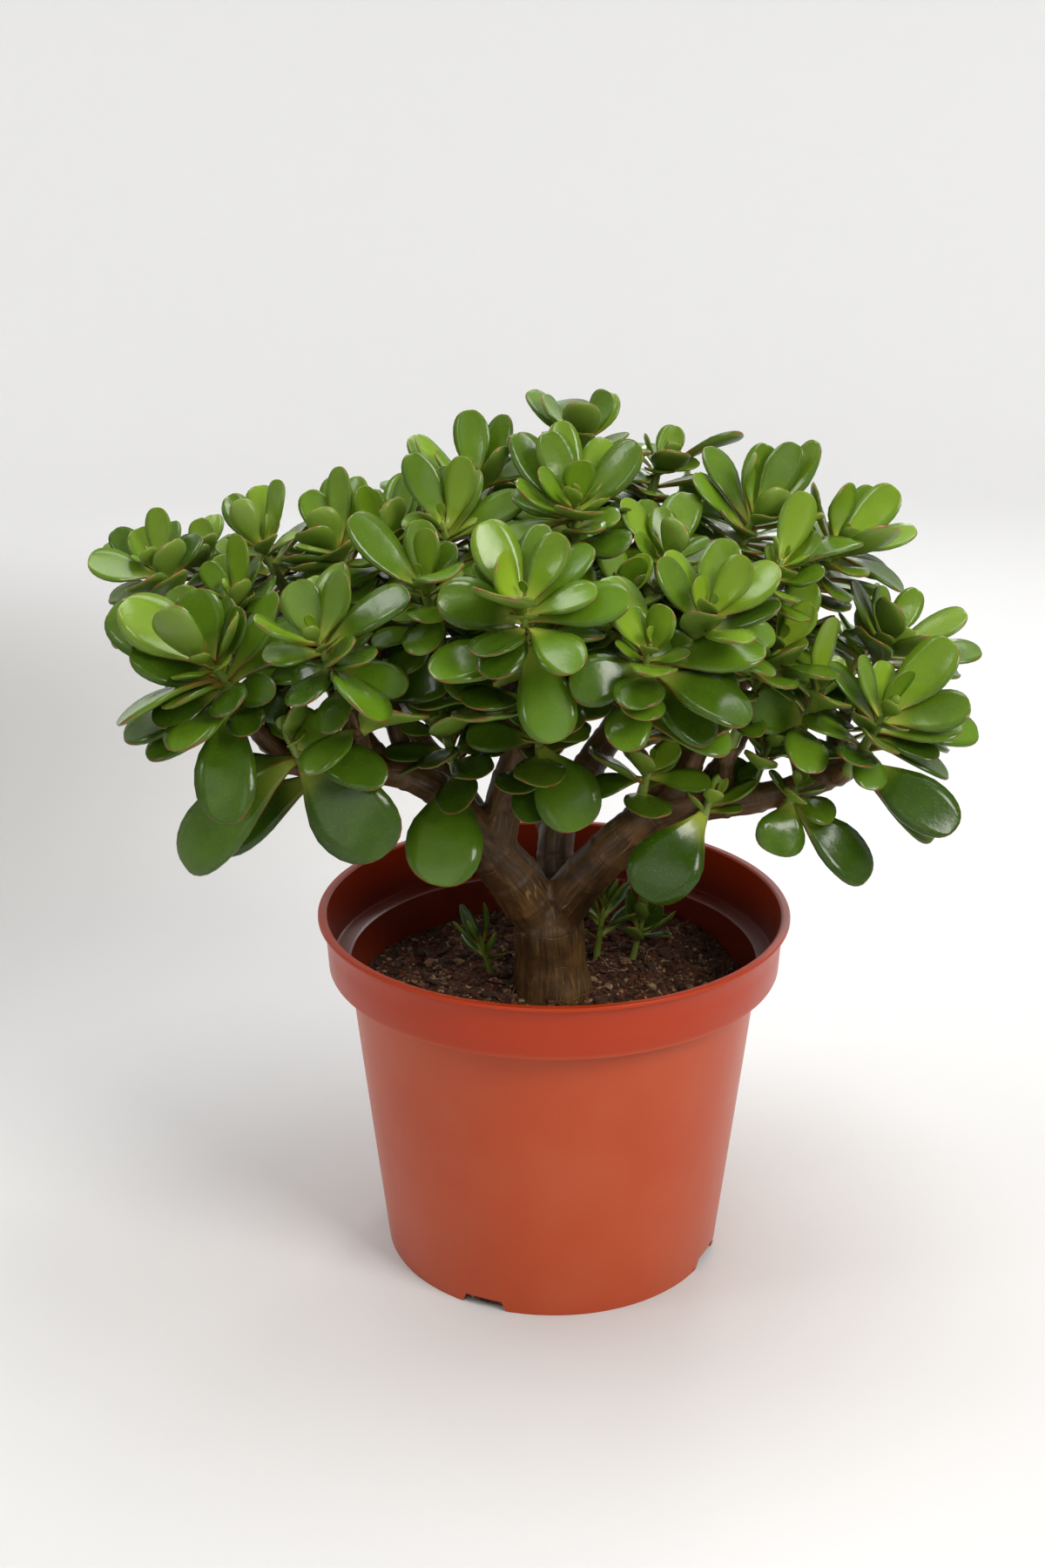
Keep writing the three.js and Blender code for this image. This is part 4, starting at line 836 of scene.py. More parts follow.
@dataclass
class NurseryPot:
    """The moulded pot: conical wall, collar with a thin lip, an inner ledge and four foot notches."""

    lip_radius: float = 135 * MM
    height: float = 210 * MM
    collar_top: float = 131.3 * MM
    collar_foot: float = 129.4 * MM
    collar_height: float = 31.5 * MM
    body_top: float = 118.3 * MM
    base: float = 98.4 * MM
    wall: float = 1.8 * MM
    floor: float = 2.2 * MM
    sides: int = 160
    notches: int = 4
    first_notch: float = -24  # degrees from the front
    notch_width: float = 31 * MM
    notch_height: float = 6.3 * MM
    notch_slope: float = 4.5 * MM
    notch_start: float = 34 * MM
    notch_roof: float = 1.6 * MM
    drain_radius: float = 5 * MM
    drain_at: float = 60 * MM
    corner: float = 0.5 * MM  # radius of the rounded edges
    lip_height: float = 3 * MM
    smooth_up_to: float = 32  # degrees between faces that shade as one
    cut_beyond: float = 10 * MM  # how far a notch's cutter stands out of the wall

    def profile(self) -> list[tuple[float, float]]:
        """The pot's section, from the underside round the lip to the inner floor.

        Returns:
            Radius and height of each ring.
        """
        step_z = self.height - self.collar_height
        lip = self.height - self.lip_height
        inner = self.inner_radius
        corner = self.corner
        return [
            (self.base - 3 * corner, 0),
            (self.base - 0.3 * corner, 0.3 * corner),
            (self.base, 2 * corner),
            (self.base + 0.35 * (self.body_top - self.base), 0.35 * step_z),
            (self.base + 0.7 * (self.body_top - self.base), 0.7 * step_z),
            (self.body_top - corner, step_z - 5 * corner),
            (self.body_top + corner, step_z - 2.6 * corner),
            (self.body_top + 4 * corner, step_z - 2 * corner),
            (self.collar_foot - 3 * corner, step_z - 2 * corner),
            (self.collar_foot - 0.6 * corner, step_z - 1.4 * corner),
            (self.collar_foot, step_z),
            ((self.collar_foot + self.collar_top) / 2, step_z + self.collar_height / 2),
            (self.collar_top, lip - 2 * corner),
            (self.collar_top + corner, lip - 0.2 * corner),
            (self.lip_radius - corner, lip + 0.6 * MM),
            (self.lip_radius, lip + 0.6 * MM + corner),
            (self.lip_radius, self.height - 2 * corner),
            (self.lip_radius - corner, self.height - 0.3 * corner),
            (self.lip_radius - 3 * corner, self.height),
            (self.collar_top - self.wall + 3 * corner, self.height - 0.3 * corner),
            (self.collar_top - self.wall + 0.8 * corner, self.height - 2 * corner),
            (self.collar_foot - self.wall + 0.2 * MM, step_z + self.wall + 8 * corner),
            (self.collar_foot - self.wall - corner, step_z + self.wall + 1.2 * corner),
            (self.collar_foot - self.wall - 4 * corner, step_z + self.wall),
            (inner(step_z + self.wall) + 3 * corner, step_z + self.wall - 0.3 * corner),
            (inner(step_z + self.wall) + 0.3 * corner, step_z + self.wall - 2 * corner),
            (inner(step_z - 3 * MM), step_z - 3 * MM),
            (inner(0.5 * step_z), 0.5 * step_z),
            (inner(self.floor), self.floor),
        ]

    def inner_radius(self, z: float) -> float:
        """Radius of the inner wall below the ledge."""
        return self.base + (self.body_top - self.base) * z / (self.height - self.collar_height) - self.wall

    def shell(self) -> bpy.types.Object:
        """Turns the shell: a disc drawn up ring by ring along the profile.

        Returns:
            The shell, without notches and holes.
        """
        rings = self.profile()
        radius, height = rings[0]
        bpy.ops.mesh.primitive_circle_add(
            vertices=self.sides, radius=radius, location=(0, 0, height), fill_type="TRIFAN"
        )
        piece = bpy.context.object
        apply_place(piece)
        bpy.ops.object.mode_set(mode="EDIT")
        bpy.ops.mesh.select_all(action="SELECT")
        bpy.ops.mesh.flip_normals()
        bpy.ops.mesh.select_mode(type="EDGE")
        bpy.ops.mesh.select_all(action="DESELECT")
        bpy.ops.mesh.select_non_manifold()
        for new_radius, new_height in rings[1:]:
            rise = (0, 0, new_height - height)
            bpy.ops.mesh.extrude_region_move(TRANSFORM_OT_translate={"value": rise})
            share = new_radius / radius
            bpy.ops.transform.resize(value=(share, share, 1), center_override=(0, 0, new_height))
            radius, height = new_radius, new_height
        bpy.ops.mesh.extrude_region_move(TRANSFORM_OT_translate={"value": (0, 0, 0)})
        bpy.ops.mesh.merge(type="CENTER")
        bpy.ops.mesh.select_all(action="SELECT")
        bpy.ops.mesh.normals_make_consistent(inside=False)
        bpy.ops.object.mode_set(mode="OBJECT")
        return piece

    def bar(self, turn: float, extra: float, start: float, end: float) -> bpy.types.Object:
        """A bar along a radius with leaning flanks, to cut or roof a notch.

        Args:
            turn: Degrees from the front.
            extra: How much wider and higher than the notch.
            start: Inner end, from the pot's axis.
            end: Outer end.

        Returns:
            The bar.
        """
        bottom = self.floor / 2 if extra else -5 * MM
        top = self.notch_height + extra
        half = self.notch_width / 2 + extra
        bpy.ops.mesh.primitive_cube_add(size=1, location=(0, 0, 0))
        bar = bpy.context.object
        bar.scale = (2 * half, end - start, top - bottom)
        bar.location = (0, -(start + end) / 2, (top + bottom) / 2)
        apply_place(bar)
        bpy.ops.object.mode_set(mode="EDIT")
        bpy.ops.mesh.select_all(action="DESELECT")
        bpy.ops.object.mode_set(mode="OBJECT")
        for vertex in bar.data.vertices:
            vertex.select = vertex.co.z > (top + bottom) / 2
        bpy.ops.object.mode_set(mode="EDIT")
        share = (half - self.notch_slope) / half
        bpy.ops.transform.resize(value=(share, 1, 1), center_override=(0, 0, 0))
        bpy.ops.object.mode_set(mode="OBJECT")
        bar.rotation_euler = (0, 0, math.radians(turn))
        apply_place(bar)
        return bar

    def drain(self, turn: float) -> bpy.types.Object:
        """Makes the cutter of one drain hole.

        Args:
            turn: Degrees from the front.

        Returns:
            The cutter.
        """
        angle = math.radians(turn - 90)
        place = (self.drain_at * math.cos(angle), self.drain_at * math.sin(angle), 0)
        bpy.ops.mesh.primitive_cylinder_add(
            vertices=32, radius=self.drain_radius, depth=40 * MM, location=place
        )
        cutter = bpy.context.object
        apply_place(cutter)
        return cutter

    def build(self, finish: MouldedPlastic) -> None:
        """Models and dresses the pot.

        Args:
            finish: The pot's plastic.
        """
        deselect()
        piece = self.shell()
        room = self.base - self.wall / 2
        for k in range(self.notches):
            turn = self.first_notch + 360 / self.notches * k
            roof = self.bar(turn, self.notch_roof, self.notch_start - self.notch_roof, room)
            notch = self.bar(turn, 0, self.notch_start, self.base + self.cut_beyond)
            hole = self.drain(turn)
            for tool, operation in ((roof, "UNION"), (notch, "DIFFERENCE"), (hole, "DIFFERENCE")):
                apply_modifier(piece, "BOOLEAN", object=tool, operation=operation, solver="EXACT")
                bpy.data.objects.remove(tool)
        piece.name = "nursery_pot"
        only(piece)
        bpy.ops.object.shade_smooth_by_angle(angle=math.radians(self.smooth_up_to))
        points = points_of(piece.data)
        step_z = self.height - self.collar_height
        heights = (0, step_z - MM, step_z, self.height)
        radii = (self.base, self.body_top, self.collar_foot, self.collar_top)
        outer = np.interp(points[:, 2], heights, radii)
        # The inner wall, which the material darkens with painted shade for the crown's shadow.
        deep = np.hypot(points[:, 0], points[:, 1]) < outer - self.wall / 2
        layer = piece.data.attributes.new("inside", "FLOAT", "POINT")
        layer.data.foreach_set("value", (deep & (points[:, 2] < self.height - 2 * MM)).astype(float))
        finish_piece(piece, finish.build(), Slot.PLASTIC, "pot")


# ---- soil ----------------------------------------------------------------------------------------


@dataclass
class PeatFill:
    """The peat in the pot: a low lumpy mound, with crumbs, bark chips and dry fibres lying on it."""

    level: float = 158 * MM
    mound: float = 5 * MM
    spread: float = 48 * MM
    pile: float = 10 * MM
    pile_at: tuple[float, float] = (66 * MM, 62 * MM)
    pile_reach: float = 36 * MM
    lump: float = 1.7 * MM
    sectors: int = 168
    rings: int = 64
    grain: float = 3.2 * MM
    crumbs: int = 1900
    fibres: int = 60
    clearance: float = 0.35 * MM
    under: float = 0.3 * MM  # gap to the pot's floor
    calm_edge: float = 3 * MM  # the crumbs of the surface fade out at the wall
    crumb_size: tuple[float, float] = (0.8, 2.3)  # smallest and how much larger, in millimetres
    crumb_edge: float = 4 * MM
    pale_at: tuple[float, float] = (16 * MM, -16 * MM)  # dry crumbs lie beside the trunk
    pale_reach: float = 30 * MM
    fibre_length: tuple[float, float] = (1.6, 2.6)  # of one piece between bends, in millimetres
    fibre_radius: tuple[float, float] = (0.22, 0.42)  # in millimetres
    fibre_points: int = 9

    def height_at(self, x: float, y: float) -> float:
        """Height of the soil's surface.

        Args:
            x: Place to the right.
            y: Place away from the viewer.

        Returns:
            The height in metres.
        """
        r = math.hypot(x, y) / self.spread
        a, b = x / MM, y / MM
        lumps = math.sin(a * 0.19 + 1.3) * math.cos(b * 0.23) + 0.6 * math.sin(a * 0.31 - b * 0.27)
        away = math.hypot(x - self.pile_at[0], y - self.pile_at[1]) / self.pile_reach
        raised = self.mound * math.exp(-r * r) + self.pile * math.exp(-away * away)
        return self.level + raised + self.lump * lumps

    def rough(self, x: float, y: float) -> float:
        """Height of the small crumbs that the surface itself shows.

        Args:
            x: Place to the right.
            y: Place away from the viewer.

        Returns:
            The height in metres.
        """
        place = Vector((x, y, 0))
        coarse = noise.fractal(place / (7 * MM), 0.9, 2.1, 4)
        fine = noise.fractal(place / (2.2 * MM) + Vector((9, 4, 2)), 0.8, 2.0, 3)
        return self.grain * (0.45 * coarse + 0.35 * fine)

    def surface(self, pot: NurseryPot) -> bpy.types.Object:
        """The solid of peat, its top raised into crumbs.

        Args:
            pot: The pot that it fills.

        Returns:
            The soil's mesh.
        """
        rim = pot.inner_radius(self.level) - self.clearance
        bottom = pot.floor + self.under
        foot = pot.inner_radius(bottom) - self.clearance
        bpy.ops.mesh.primitive_circle_add(vertices=self.sectors, radius=rim, location=(0, 0, self.level))
        piece = bpy.context.object
        apply_place(piece)
        bpy.ops.object.mode_set(mode="EDIT")
        bpy.ops.mesh.select_mode(type="EDGE")
        bpy.ops.mesh.select_all(action="SELECT")
        for k in range(1, self.rings):
            bpy.ops.mesh.extrude_region_move(TRANSFORM_OT_translate={"value": (0, 0, 0)})
            share = (self.rings - k) / (self.rings - k + 1)
            bpy.ops.transform.resize(value=(share, share, 1), center_override=(0, 0, self.level))
        bpy.ops.mesh.extrude_region_move(TRANSFORM_OT_translate={"value": (0, 0, 0)})
        bpy.ops.mesh.merge(type="CENTER")
        bpy.ops.object.mode_set(mode="OBJECT")
        for vertex in piece.data.vertices:
            x, y, _ = vertex.co
            inward = min(1.0, (rim - math.hypot(x, y)) / self.calm_edge)
            vertex.co.z = self.height_at(x, y) + self.rough(x, y) * inward
        bpy.ops.object.mode_set(mode="EDIT")
        bpy.ops.mesh.select_mode(type="EDGE")
        bpy.ops.mesh.select_all(action="DESELECT")
        bpy.ops.mesh.select_non_manifold()
        drop = (0, 0, bottom - self.level)
        bpy.ops.mesh.extrude_region_move(TRANSFORM_OT_translate={"value": drop})
        bpy.ops.transform.resize(value=(foot / rim, foot / rim, 0), center_override=(0, 0, bottom))
        bpy.ops.mesh.edge_face_add()
        bpy.ops.mesh.select_all(action="SELECT")
        bpy.ops.mesh.normals_make_consistent(inside=False)
        bpy.ops.object.mode_set(mode="OBJECT")
        piece.name = "peat"
        only(piece)
        bpy.ops.object.shade_smooth()
        return piece

    def crumb(self) -> tuple[np.ndarray, np.ndarray]:
        """Shapes one crumb of radius one, with few faces.

        Returns:
            Its points and its triangles.
        """
        bpy.ops.mesh.primitive_ico_sphere_add(subdivisions=1, radius=1)
        lump = bpy.context.object
        bpy.ops.object.mode_set(mode="EDIT")
        bpy.ops.mesh.select_all(action="SELECT")
        bpy.ops.transform.vertex_random(offset=0.35, seed=SEED)
        bpy.ops.object.mode_set(mode="OBJECT")
        points = points_of(lump.data)
        faces = np.array([tuple(p.vertices) for p in lump.data.polygons])
        bpy.data.objects.remove(lump)
        return points, faces

    def scatter(self, pot: NurseryPot) -> bpy.types.Object:
        """Crumbs, chips and fibres on the soil, joined into one piece.

        Args:
            pot: The pot that it fills.

        Returns:
            The loose bits.
        """
        draw = np.random.default_rng(SEED)
        shape, triangles = self.crumb()
        rim = pot.inner_radius(self.level) - self.crumb_edge
        least, more = self.crumb_size
        pale_x, pale_y = self.pale_at
        points, faces, tints = [], [], []
        count = 0

        def put(rows: np.ndarray, links: Iterable, tint: float) -> None:
            """Adds one bit.

            Args:
                rows: Its points.
                links: Its faces.
                tint: Its tint, from 0 to 1.
            """
            nonlocal count
            points.append(rows)
            faces.extend([tuple(i + count for i in link) for link in links])
            tints.extend([tint] * len(rows))
            count += len(rows)

        for _ in range(self.crumbs):
            radius = rim * math.sqrt(draw.random())
            turn = draw.random() * 2 * math.pi
            x, y = radius * math.cos(turn), radius * math.sin(turn)
            near_trunk = math.exp(-((math.hypot(x - pale_x, y - pale_y) / self.pale_reach) ** 2))
            size = (least + more * draw.random() ** 3) * MM
            flat = draw.uniform(0.35, 1) if draw.random() < 0.75 else 0.22
            long = draw.uniform(1, 1.6) if flat > 0.3 else draw.uniform(1.6, 3)
            about = Matrix.Rotation(draw.random() * TURN, 3, "Z")
            spin = about @ Matrix.Rotation(draw.normal() * 0.35, 3, "X")
            rows = shape * np.array([long, 1, flat]) * size
            rows = rows @ np.array(spin).T
            rows += [x, y, self.height_at(x, y) + self.rough(x, y) + 0.2 * size]
            tint = min(1.0, draw.random() ** 1.6 * 0.95 + 0.45 * near_trunk)
            put(rows, triangles, tint)
        for _ in range(self.fibres):
            radius = rim * 0.97 * math.sqrt(draw.random())
            turn = draw.random() * 2 * math.pi
            heading, curl = draw.random() * TURN, draw.normal() * 60
            x, y = radius * math.cos(turn), radius * math.sin(turn)
            path = []
            for _ in range(self.fibre_points):
                if math.hypot(x, y) > rim:
                    break
                lift = self.height_at(x, y) + 0.8 * MM + 0.7 * MM * draw.random()
                path.append((x, y, lift))
                reach = draw.uniform(*self.fibre_length) * MM
                x, y = x + reach * math.cos(heading), y + reach * math.sin(heading)
                heading += curl * reach + draw.normal() * 0.15
            if len(path) < 4:
                continue
            thick = draw.uniform(*self.fibre_radius) * MM
            rows, links = self.thread(np.array(path), thick)
            put(rows, links, draw.uniform(0.8, 1.0))
        piece = mesh_piece("peat_crumbs", np.vstack(points), faces)
        layer = piece.data.attributes.new("tint", "FLOAT", "POINT")
        layer.data.foreach_set("value", tints)
        piece.data.polygons.foreach_set("use_smooth", [False] * len(piece.data.polygons))
        return piece

    @staticmethod
    def thread(path: np.ndarray, thick: float) -> tuple[np.ndarray, list[tuple[int, ...]]]:
        """A closed three-sided thread along a path.

        Args:
            path: Points of the thread.
            thick: Its radius.

        Returns:
            Points and faces.
        """
        rows, links = [], []
        for k, point in enumerate(path):
            along = unit(path[min(k + 1, len(path) - 1)] - path[max(k - 1, 0)])
            side = unit(np.cross(along, [0, 0, 1]))
            over = np.cross(side, along)
            for corner in range(3):
                turn = 2 * math.pi * corner / 3
                rows.append(point + thick * (side * math.cos(turn) + over * math.sin(turn)))
        for k in range(len(path) - 1):
            for corner in range(3):
                a, b = 3 * k + corner, 3 * k + (corner + 1) % 3
                links.append((a, a + 3, b + 3, b))
        last = 3 * (len(path) - 1)
        links += [(0, 1, 2), (last + 2, last + 1, last)]
        return np.array(rows), links

    def build(self, pot: NurseryPot, peat: PottingPeat, chips: Chips) -> None:
        """Models and dresses the soil.

        Args:
            pot: The pot that it fills.
            peat: Finish of the soil.
            chips: Finish of the loose bits.
        """
        deselect()
        finish_piece(self.surface(pot), peat.build(), Slot.SOIL, "soil")
        deselect()
        finish_piece(self.scatter(pot), chips.build(), Slot.SOIL)


# ---- wood ----------------------------------------------------------------------------------------


@dataclass
class BareWood:
    """Trunk, limbs and twigs grown together, with swollen joints and ring scars."""

    voxel: float = 1.5 * MM
    corners: int = 8
    ring: float = 19 * MM
    swell: float = 0.55 * MM
    lumps: float = 0.9 * MM
    soil: float = 162 * MM
    fork: float = 208 * MM
    flare: float = 3 * MM
    trunk_at: tuple[float, float] = (-2 * MM, -8 * MM)
    trunk_reach: float = 27 * MM
    trunk_rings: float = 0.3  # height of the trunk's rings, as a share of the limbs'
    flare_height: float = 11 * MM
    flare_side: float = 18 * MM
    ridge: tuple[float, float] = (0.5, 0.11)  # place and width, as shares of the ring distance
    groove: tuple[float, float] = (0.62, 0.05)
    limb_shift: float = 0.0071  # keeps the rings of two limbs apart
    batch: int = 4000

    def centrelines(self) -> list[np.ndarray]:
        """Rows of x, y, z and radius for each limb and twig, in metres."""
        lines = [SmoothCurve(rows).sampled(2.5) for rows in LIMBS.values()]
        lines += [twig_rows(*head) for head in HEADS.values()]
        return [line * MM for line in lines]

    def tubes(self, lines: Sequence[np.ndarray]) -> bpy.types.Object:
        """Round tubes along the centrelines, in one mesh.

        Args:
            lines: Rows of x, y, z and radius.

        Returns:
            The tubes, crossing each other where limbs fork.
        """
        curve = bpy.data.curves.new("limb_lines", "CURVE")
        curve.dimensions = "3D"
        curve.bevel_depth = 1.0
        curve.bevel_resolution = self.corners // 2
        curve.use_fill_caps = True
        for line in lines:
            spline = curve.splines.new("POLY")
            spline.points.add(len(line) - 1)
            for point, row in zip(spline.points, line):
                point.co = (*row[:3], 1)
                point.radius = row[3]
        piece = bpy.data.objects.new("bare_wood", curve)
        bpy.context.collection.objects.link(piece)
        only(piece)
        bpy.ops.object.convert(target="MESH")
        return bpy.context.object

    def grown(self, points: np.ndarray, lines: Sequence[np.ndarray]) -> np.ndarray:
        """Coordinates round and along the nearest limb.

        Args:
            points: The wood's vertices.
            lines: Rows of x, y, z and radius.

        Returns:
            Two coordinates round the limb, as on a circle of its radius, and the distance along it.
        """
        centres, sides, overs, lengths, radii = [], [], [], [], []
        for k, line in enumerate(lines):
            ways = np.gradient(line[:, :3], axis=0)
            ways /= np.linalg.norm(ways, axis=1)[:, None]
            side, _ = frame_round(ways[0])
            runs = np.r_[0, np.cumsum(np.linalg.norm(np.diff(line[:, :3], axis=0), axis=1))]
            for row, way, run in zip(line, ways, runs):
                side = unit(side - way * (side @ way))
                centres.append(row[:3])
                sides.append(side)
                overs.append(np.cross(way, side))
                lengths.append(run + self.limb_shift * k)
                radii.append(row[3])
        centres, sides, overs = np.array(centres), np.array(sides), np.array(overs)
        lengths, radii = np.array(lengths), np.array(radii)
        result = np.empty((len(points), 3))
        for start in range(0, len(points), self.batch):
            rows = slice(start, start + self.batch)
            part = points[rows]
            apart = np.linalg.norm(part[:, None] - centres[None], axis=2) - radii[None]
            near = apart.argmin(axis=1)
            away = part - centres[near]
            along = np.cross(sides[near], overs[near])
            result[rows, 0] = (away * sides[near]).sum(axis=1)
            result[rows, 1] = (away * overs[near]).sum(axis=1)
            result[rows, 2] = lengths[near] + (away * along).sum(axis=1)
        return result

    def roughen(self, piece: bpy.types.Object, grown: np.ndarray) -> None:
        """Raises ring ridges, lumps and lengthwise folds on the wood.

        Args:
            piece: The wood.
            grown: Coordinates round and along each limb.
        """
        mesh = piece.data
        normals = np.empty(len(mesh.vertices) * 3)
        mesh.vertices.foreach_get("normal", normals)
        normals = normals.reshape(-1, 3)
        points = points_of(mesh)
        phase = (grown[:, 2] / self.ring) % 1
        (top, wide), (low, narrow) = self.ridge, self.groove
        ridge = np.exp(-(((phase - top) / wide) ** 2)) - 0.6 * np.exp(-(((phase - low) / narrow) ** 2))
        away = np.hypot(points[:, 0] - self.trunk_at[0], points[:, 1] - self.trunk_at[1])
        on_trunk = (away < self.trunk_reach) & (points[:, 2] < self.fork)
        lift = self.swell * ridge * np.where(on_trunk, self.trunk_rings, 1.0)
        # The trunk spreads where it enters the soil, mostly on the right.
        foot = np.exp(-(((points[:, 2] - self.soil) / self.flare_height) ** 2))
        rightwards = 0.4 + 0.6 * np.clip(points[:, 0] / self.flare_side, -0.4, 1)
        lift += np.where(on_trunk, self.flare * foot * rightwards, 0)
        for k, point in enumerate(points):
            place = Vector(point)
            broad = noise.fractal(place / (20 * MM), 1.0, 2.0, 3)
            folds = Vector((grown[k, 0], grown[k, 1], 0.15 * grown[k, 2])) / (5 * MM)
            lift[k] += self.lumps * broad + 0.25 * MM * noise.fractal(folds, 1.0, 2.0, 2)
        place_points(mesh, points + normals * lift[:, None])

    def build(self, finish: JadeBark) -> None:
        """Models and dresses the wood.

        Args:
            finish: The bark.
        """
        deselect()
        lines = self.centrelines()
        piece = self.tubes(lines)
        apply_modifier(piece, "REMESH", mode="VOXEL", voxel_size=self.voxel, use_smooth_shade=True)
        apply_modifier(piece, "SMOOTH", factor=0.5, iterations=5)
        grown = self.grown(points_of(piece.data), lines)
        self.roughen(piece, grown)
        give_vector(piece.data, "grown", grown)
        finish_piece(piece, finish.build(), Slot.BARK, "trunk_and_limbs")


# ---- leaves --------------------------------------------------------------------------------------

WIDEST = 0.63  # where a leaf is widest, as a share of its length
NECK = 0.17  # width at its root, as a share of the widest
LAST_RING = 0.88  # the frame's blades have their last ring of corners here
BROAD = 0.66  # where the living leaf is broadest
BLUNT = 2.3  # how square its end is


def outline(u: float) -> float:
    """A leaf's half width at a share of its length, as a share of the widest."""
    if u > WIDEST:
        return math.sqrt(max(0.0, 1 - ((u - WIDEST) / (1 - WIDEST)) ** 2))
    return NECK + (1 - NECK) * math.sin(math.pi / 2 * u / WIDEST) ** 1.7


def spoon(u: float) -> float:
    """The real leaf's half width: a narrow neck, then broad to a blunt round end."""
    if u > BROAD:
        return max(0.0, 1 - ((u - BROAD) / (1 - BROAD)) ** BLUNT) ** (1 / BLUNT)
    return 0.15 + 0.85 * math.sin(math.pi / 2 * u / BROAD) ** 1.9


@dataclass
class Blade:
    """One leaf: where it is rooted, how it lies and how large it is, in metres."""

    root: np.ndarray
    along: np.ndarray
    upper: np.ndarray
    length: float
    width: float
    arch: float
    cup: float
    age: float = 0.0  # 0 is old, 1 is fresh from the bud
    tint: float = 0.5
    twist: float = 0.0  # turn of the tip about the leaf's own line, in radians
    sweep: float = 0.0  # how far the tip bends to one side, as a share of the length
    curl: float = 0.0  # how far the tip bends up, as a share of the length
    wave: float = 0.0  # height of the margin's wave, as a share of the width
    pointed: float = 0.0  # how far it narrows to a point, from 0 to 1
    least: float = 0.0  # the frame's own width, below which it isn't narrowed; 0 for an added leaf

    def vary(self, draw: np.random.Generator) -> None:
        """Makes the leaf a little uneven, as grown ones are.

        Args:
            draw: The crown's random draws.
        """
        self.twist = 0.16 * draw.normal()
        self.sweep = 0.03 * draw.normal()
        self.curl = 0.035 * draw.normal()
        self.wave = 0.03 * draw.normal()

    def give_way(self) -> None:
        """Makes the leaf a little smaller and straighter, so that it clears a neighbour."""
        self.width = max(self.least, 0.92 * self.width)
        self.length *= 1 if self.least else 0.94
        self.twist, self.sweep, self.curl, self.wave = (
            0.75 * bend for bend in (self.twist, self.sweep, self.curl, self.wave)
        )

    @property
    def side(self) -> np.ndarray:
        """Direction across the leaf."""
        return np.cross(self.along, self.upper)

    @property
    def thickness(self) -> float:
        """Thickness of the blade."""
        return min(max(0.125 * self.width, 1.5 * MM), 4.4 * MM)

    def middle(self, u: float, s: float) -> np.ndarray:
        """A point of the middle surface.

        Args:
            u: Share of the length.
            s: Place across, from -1 to 1.

        Returns:
            The point.
        """
        rise = self.arch * 4 * u * (1 - u) + self.cup * s * s * spoon(u)
        across = self.width / 2 * spoon(u) * s
        return self.root + self.along * self.length * u + self.upper * rise + self.side * across

    def probes(self, shares: Sequence[float], edge: float) -> np.ndarray:
        """Returns points at shares of the length, each at both sides and in the middle."""
        return np.array([self.middle(u, s) for u in shares for s in (-edge, 0, edge)])


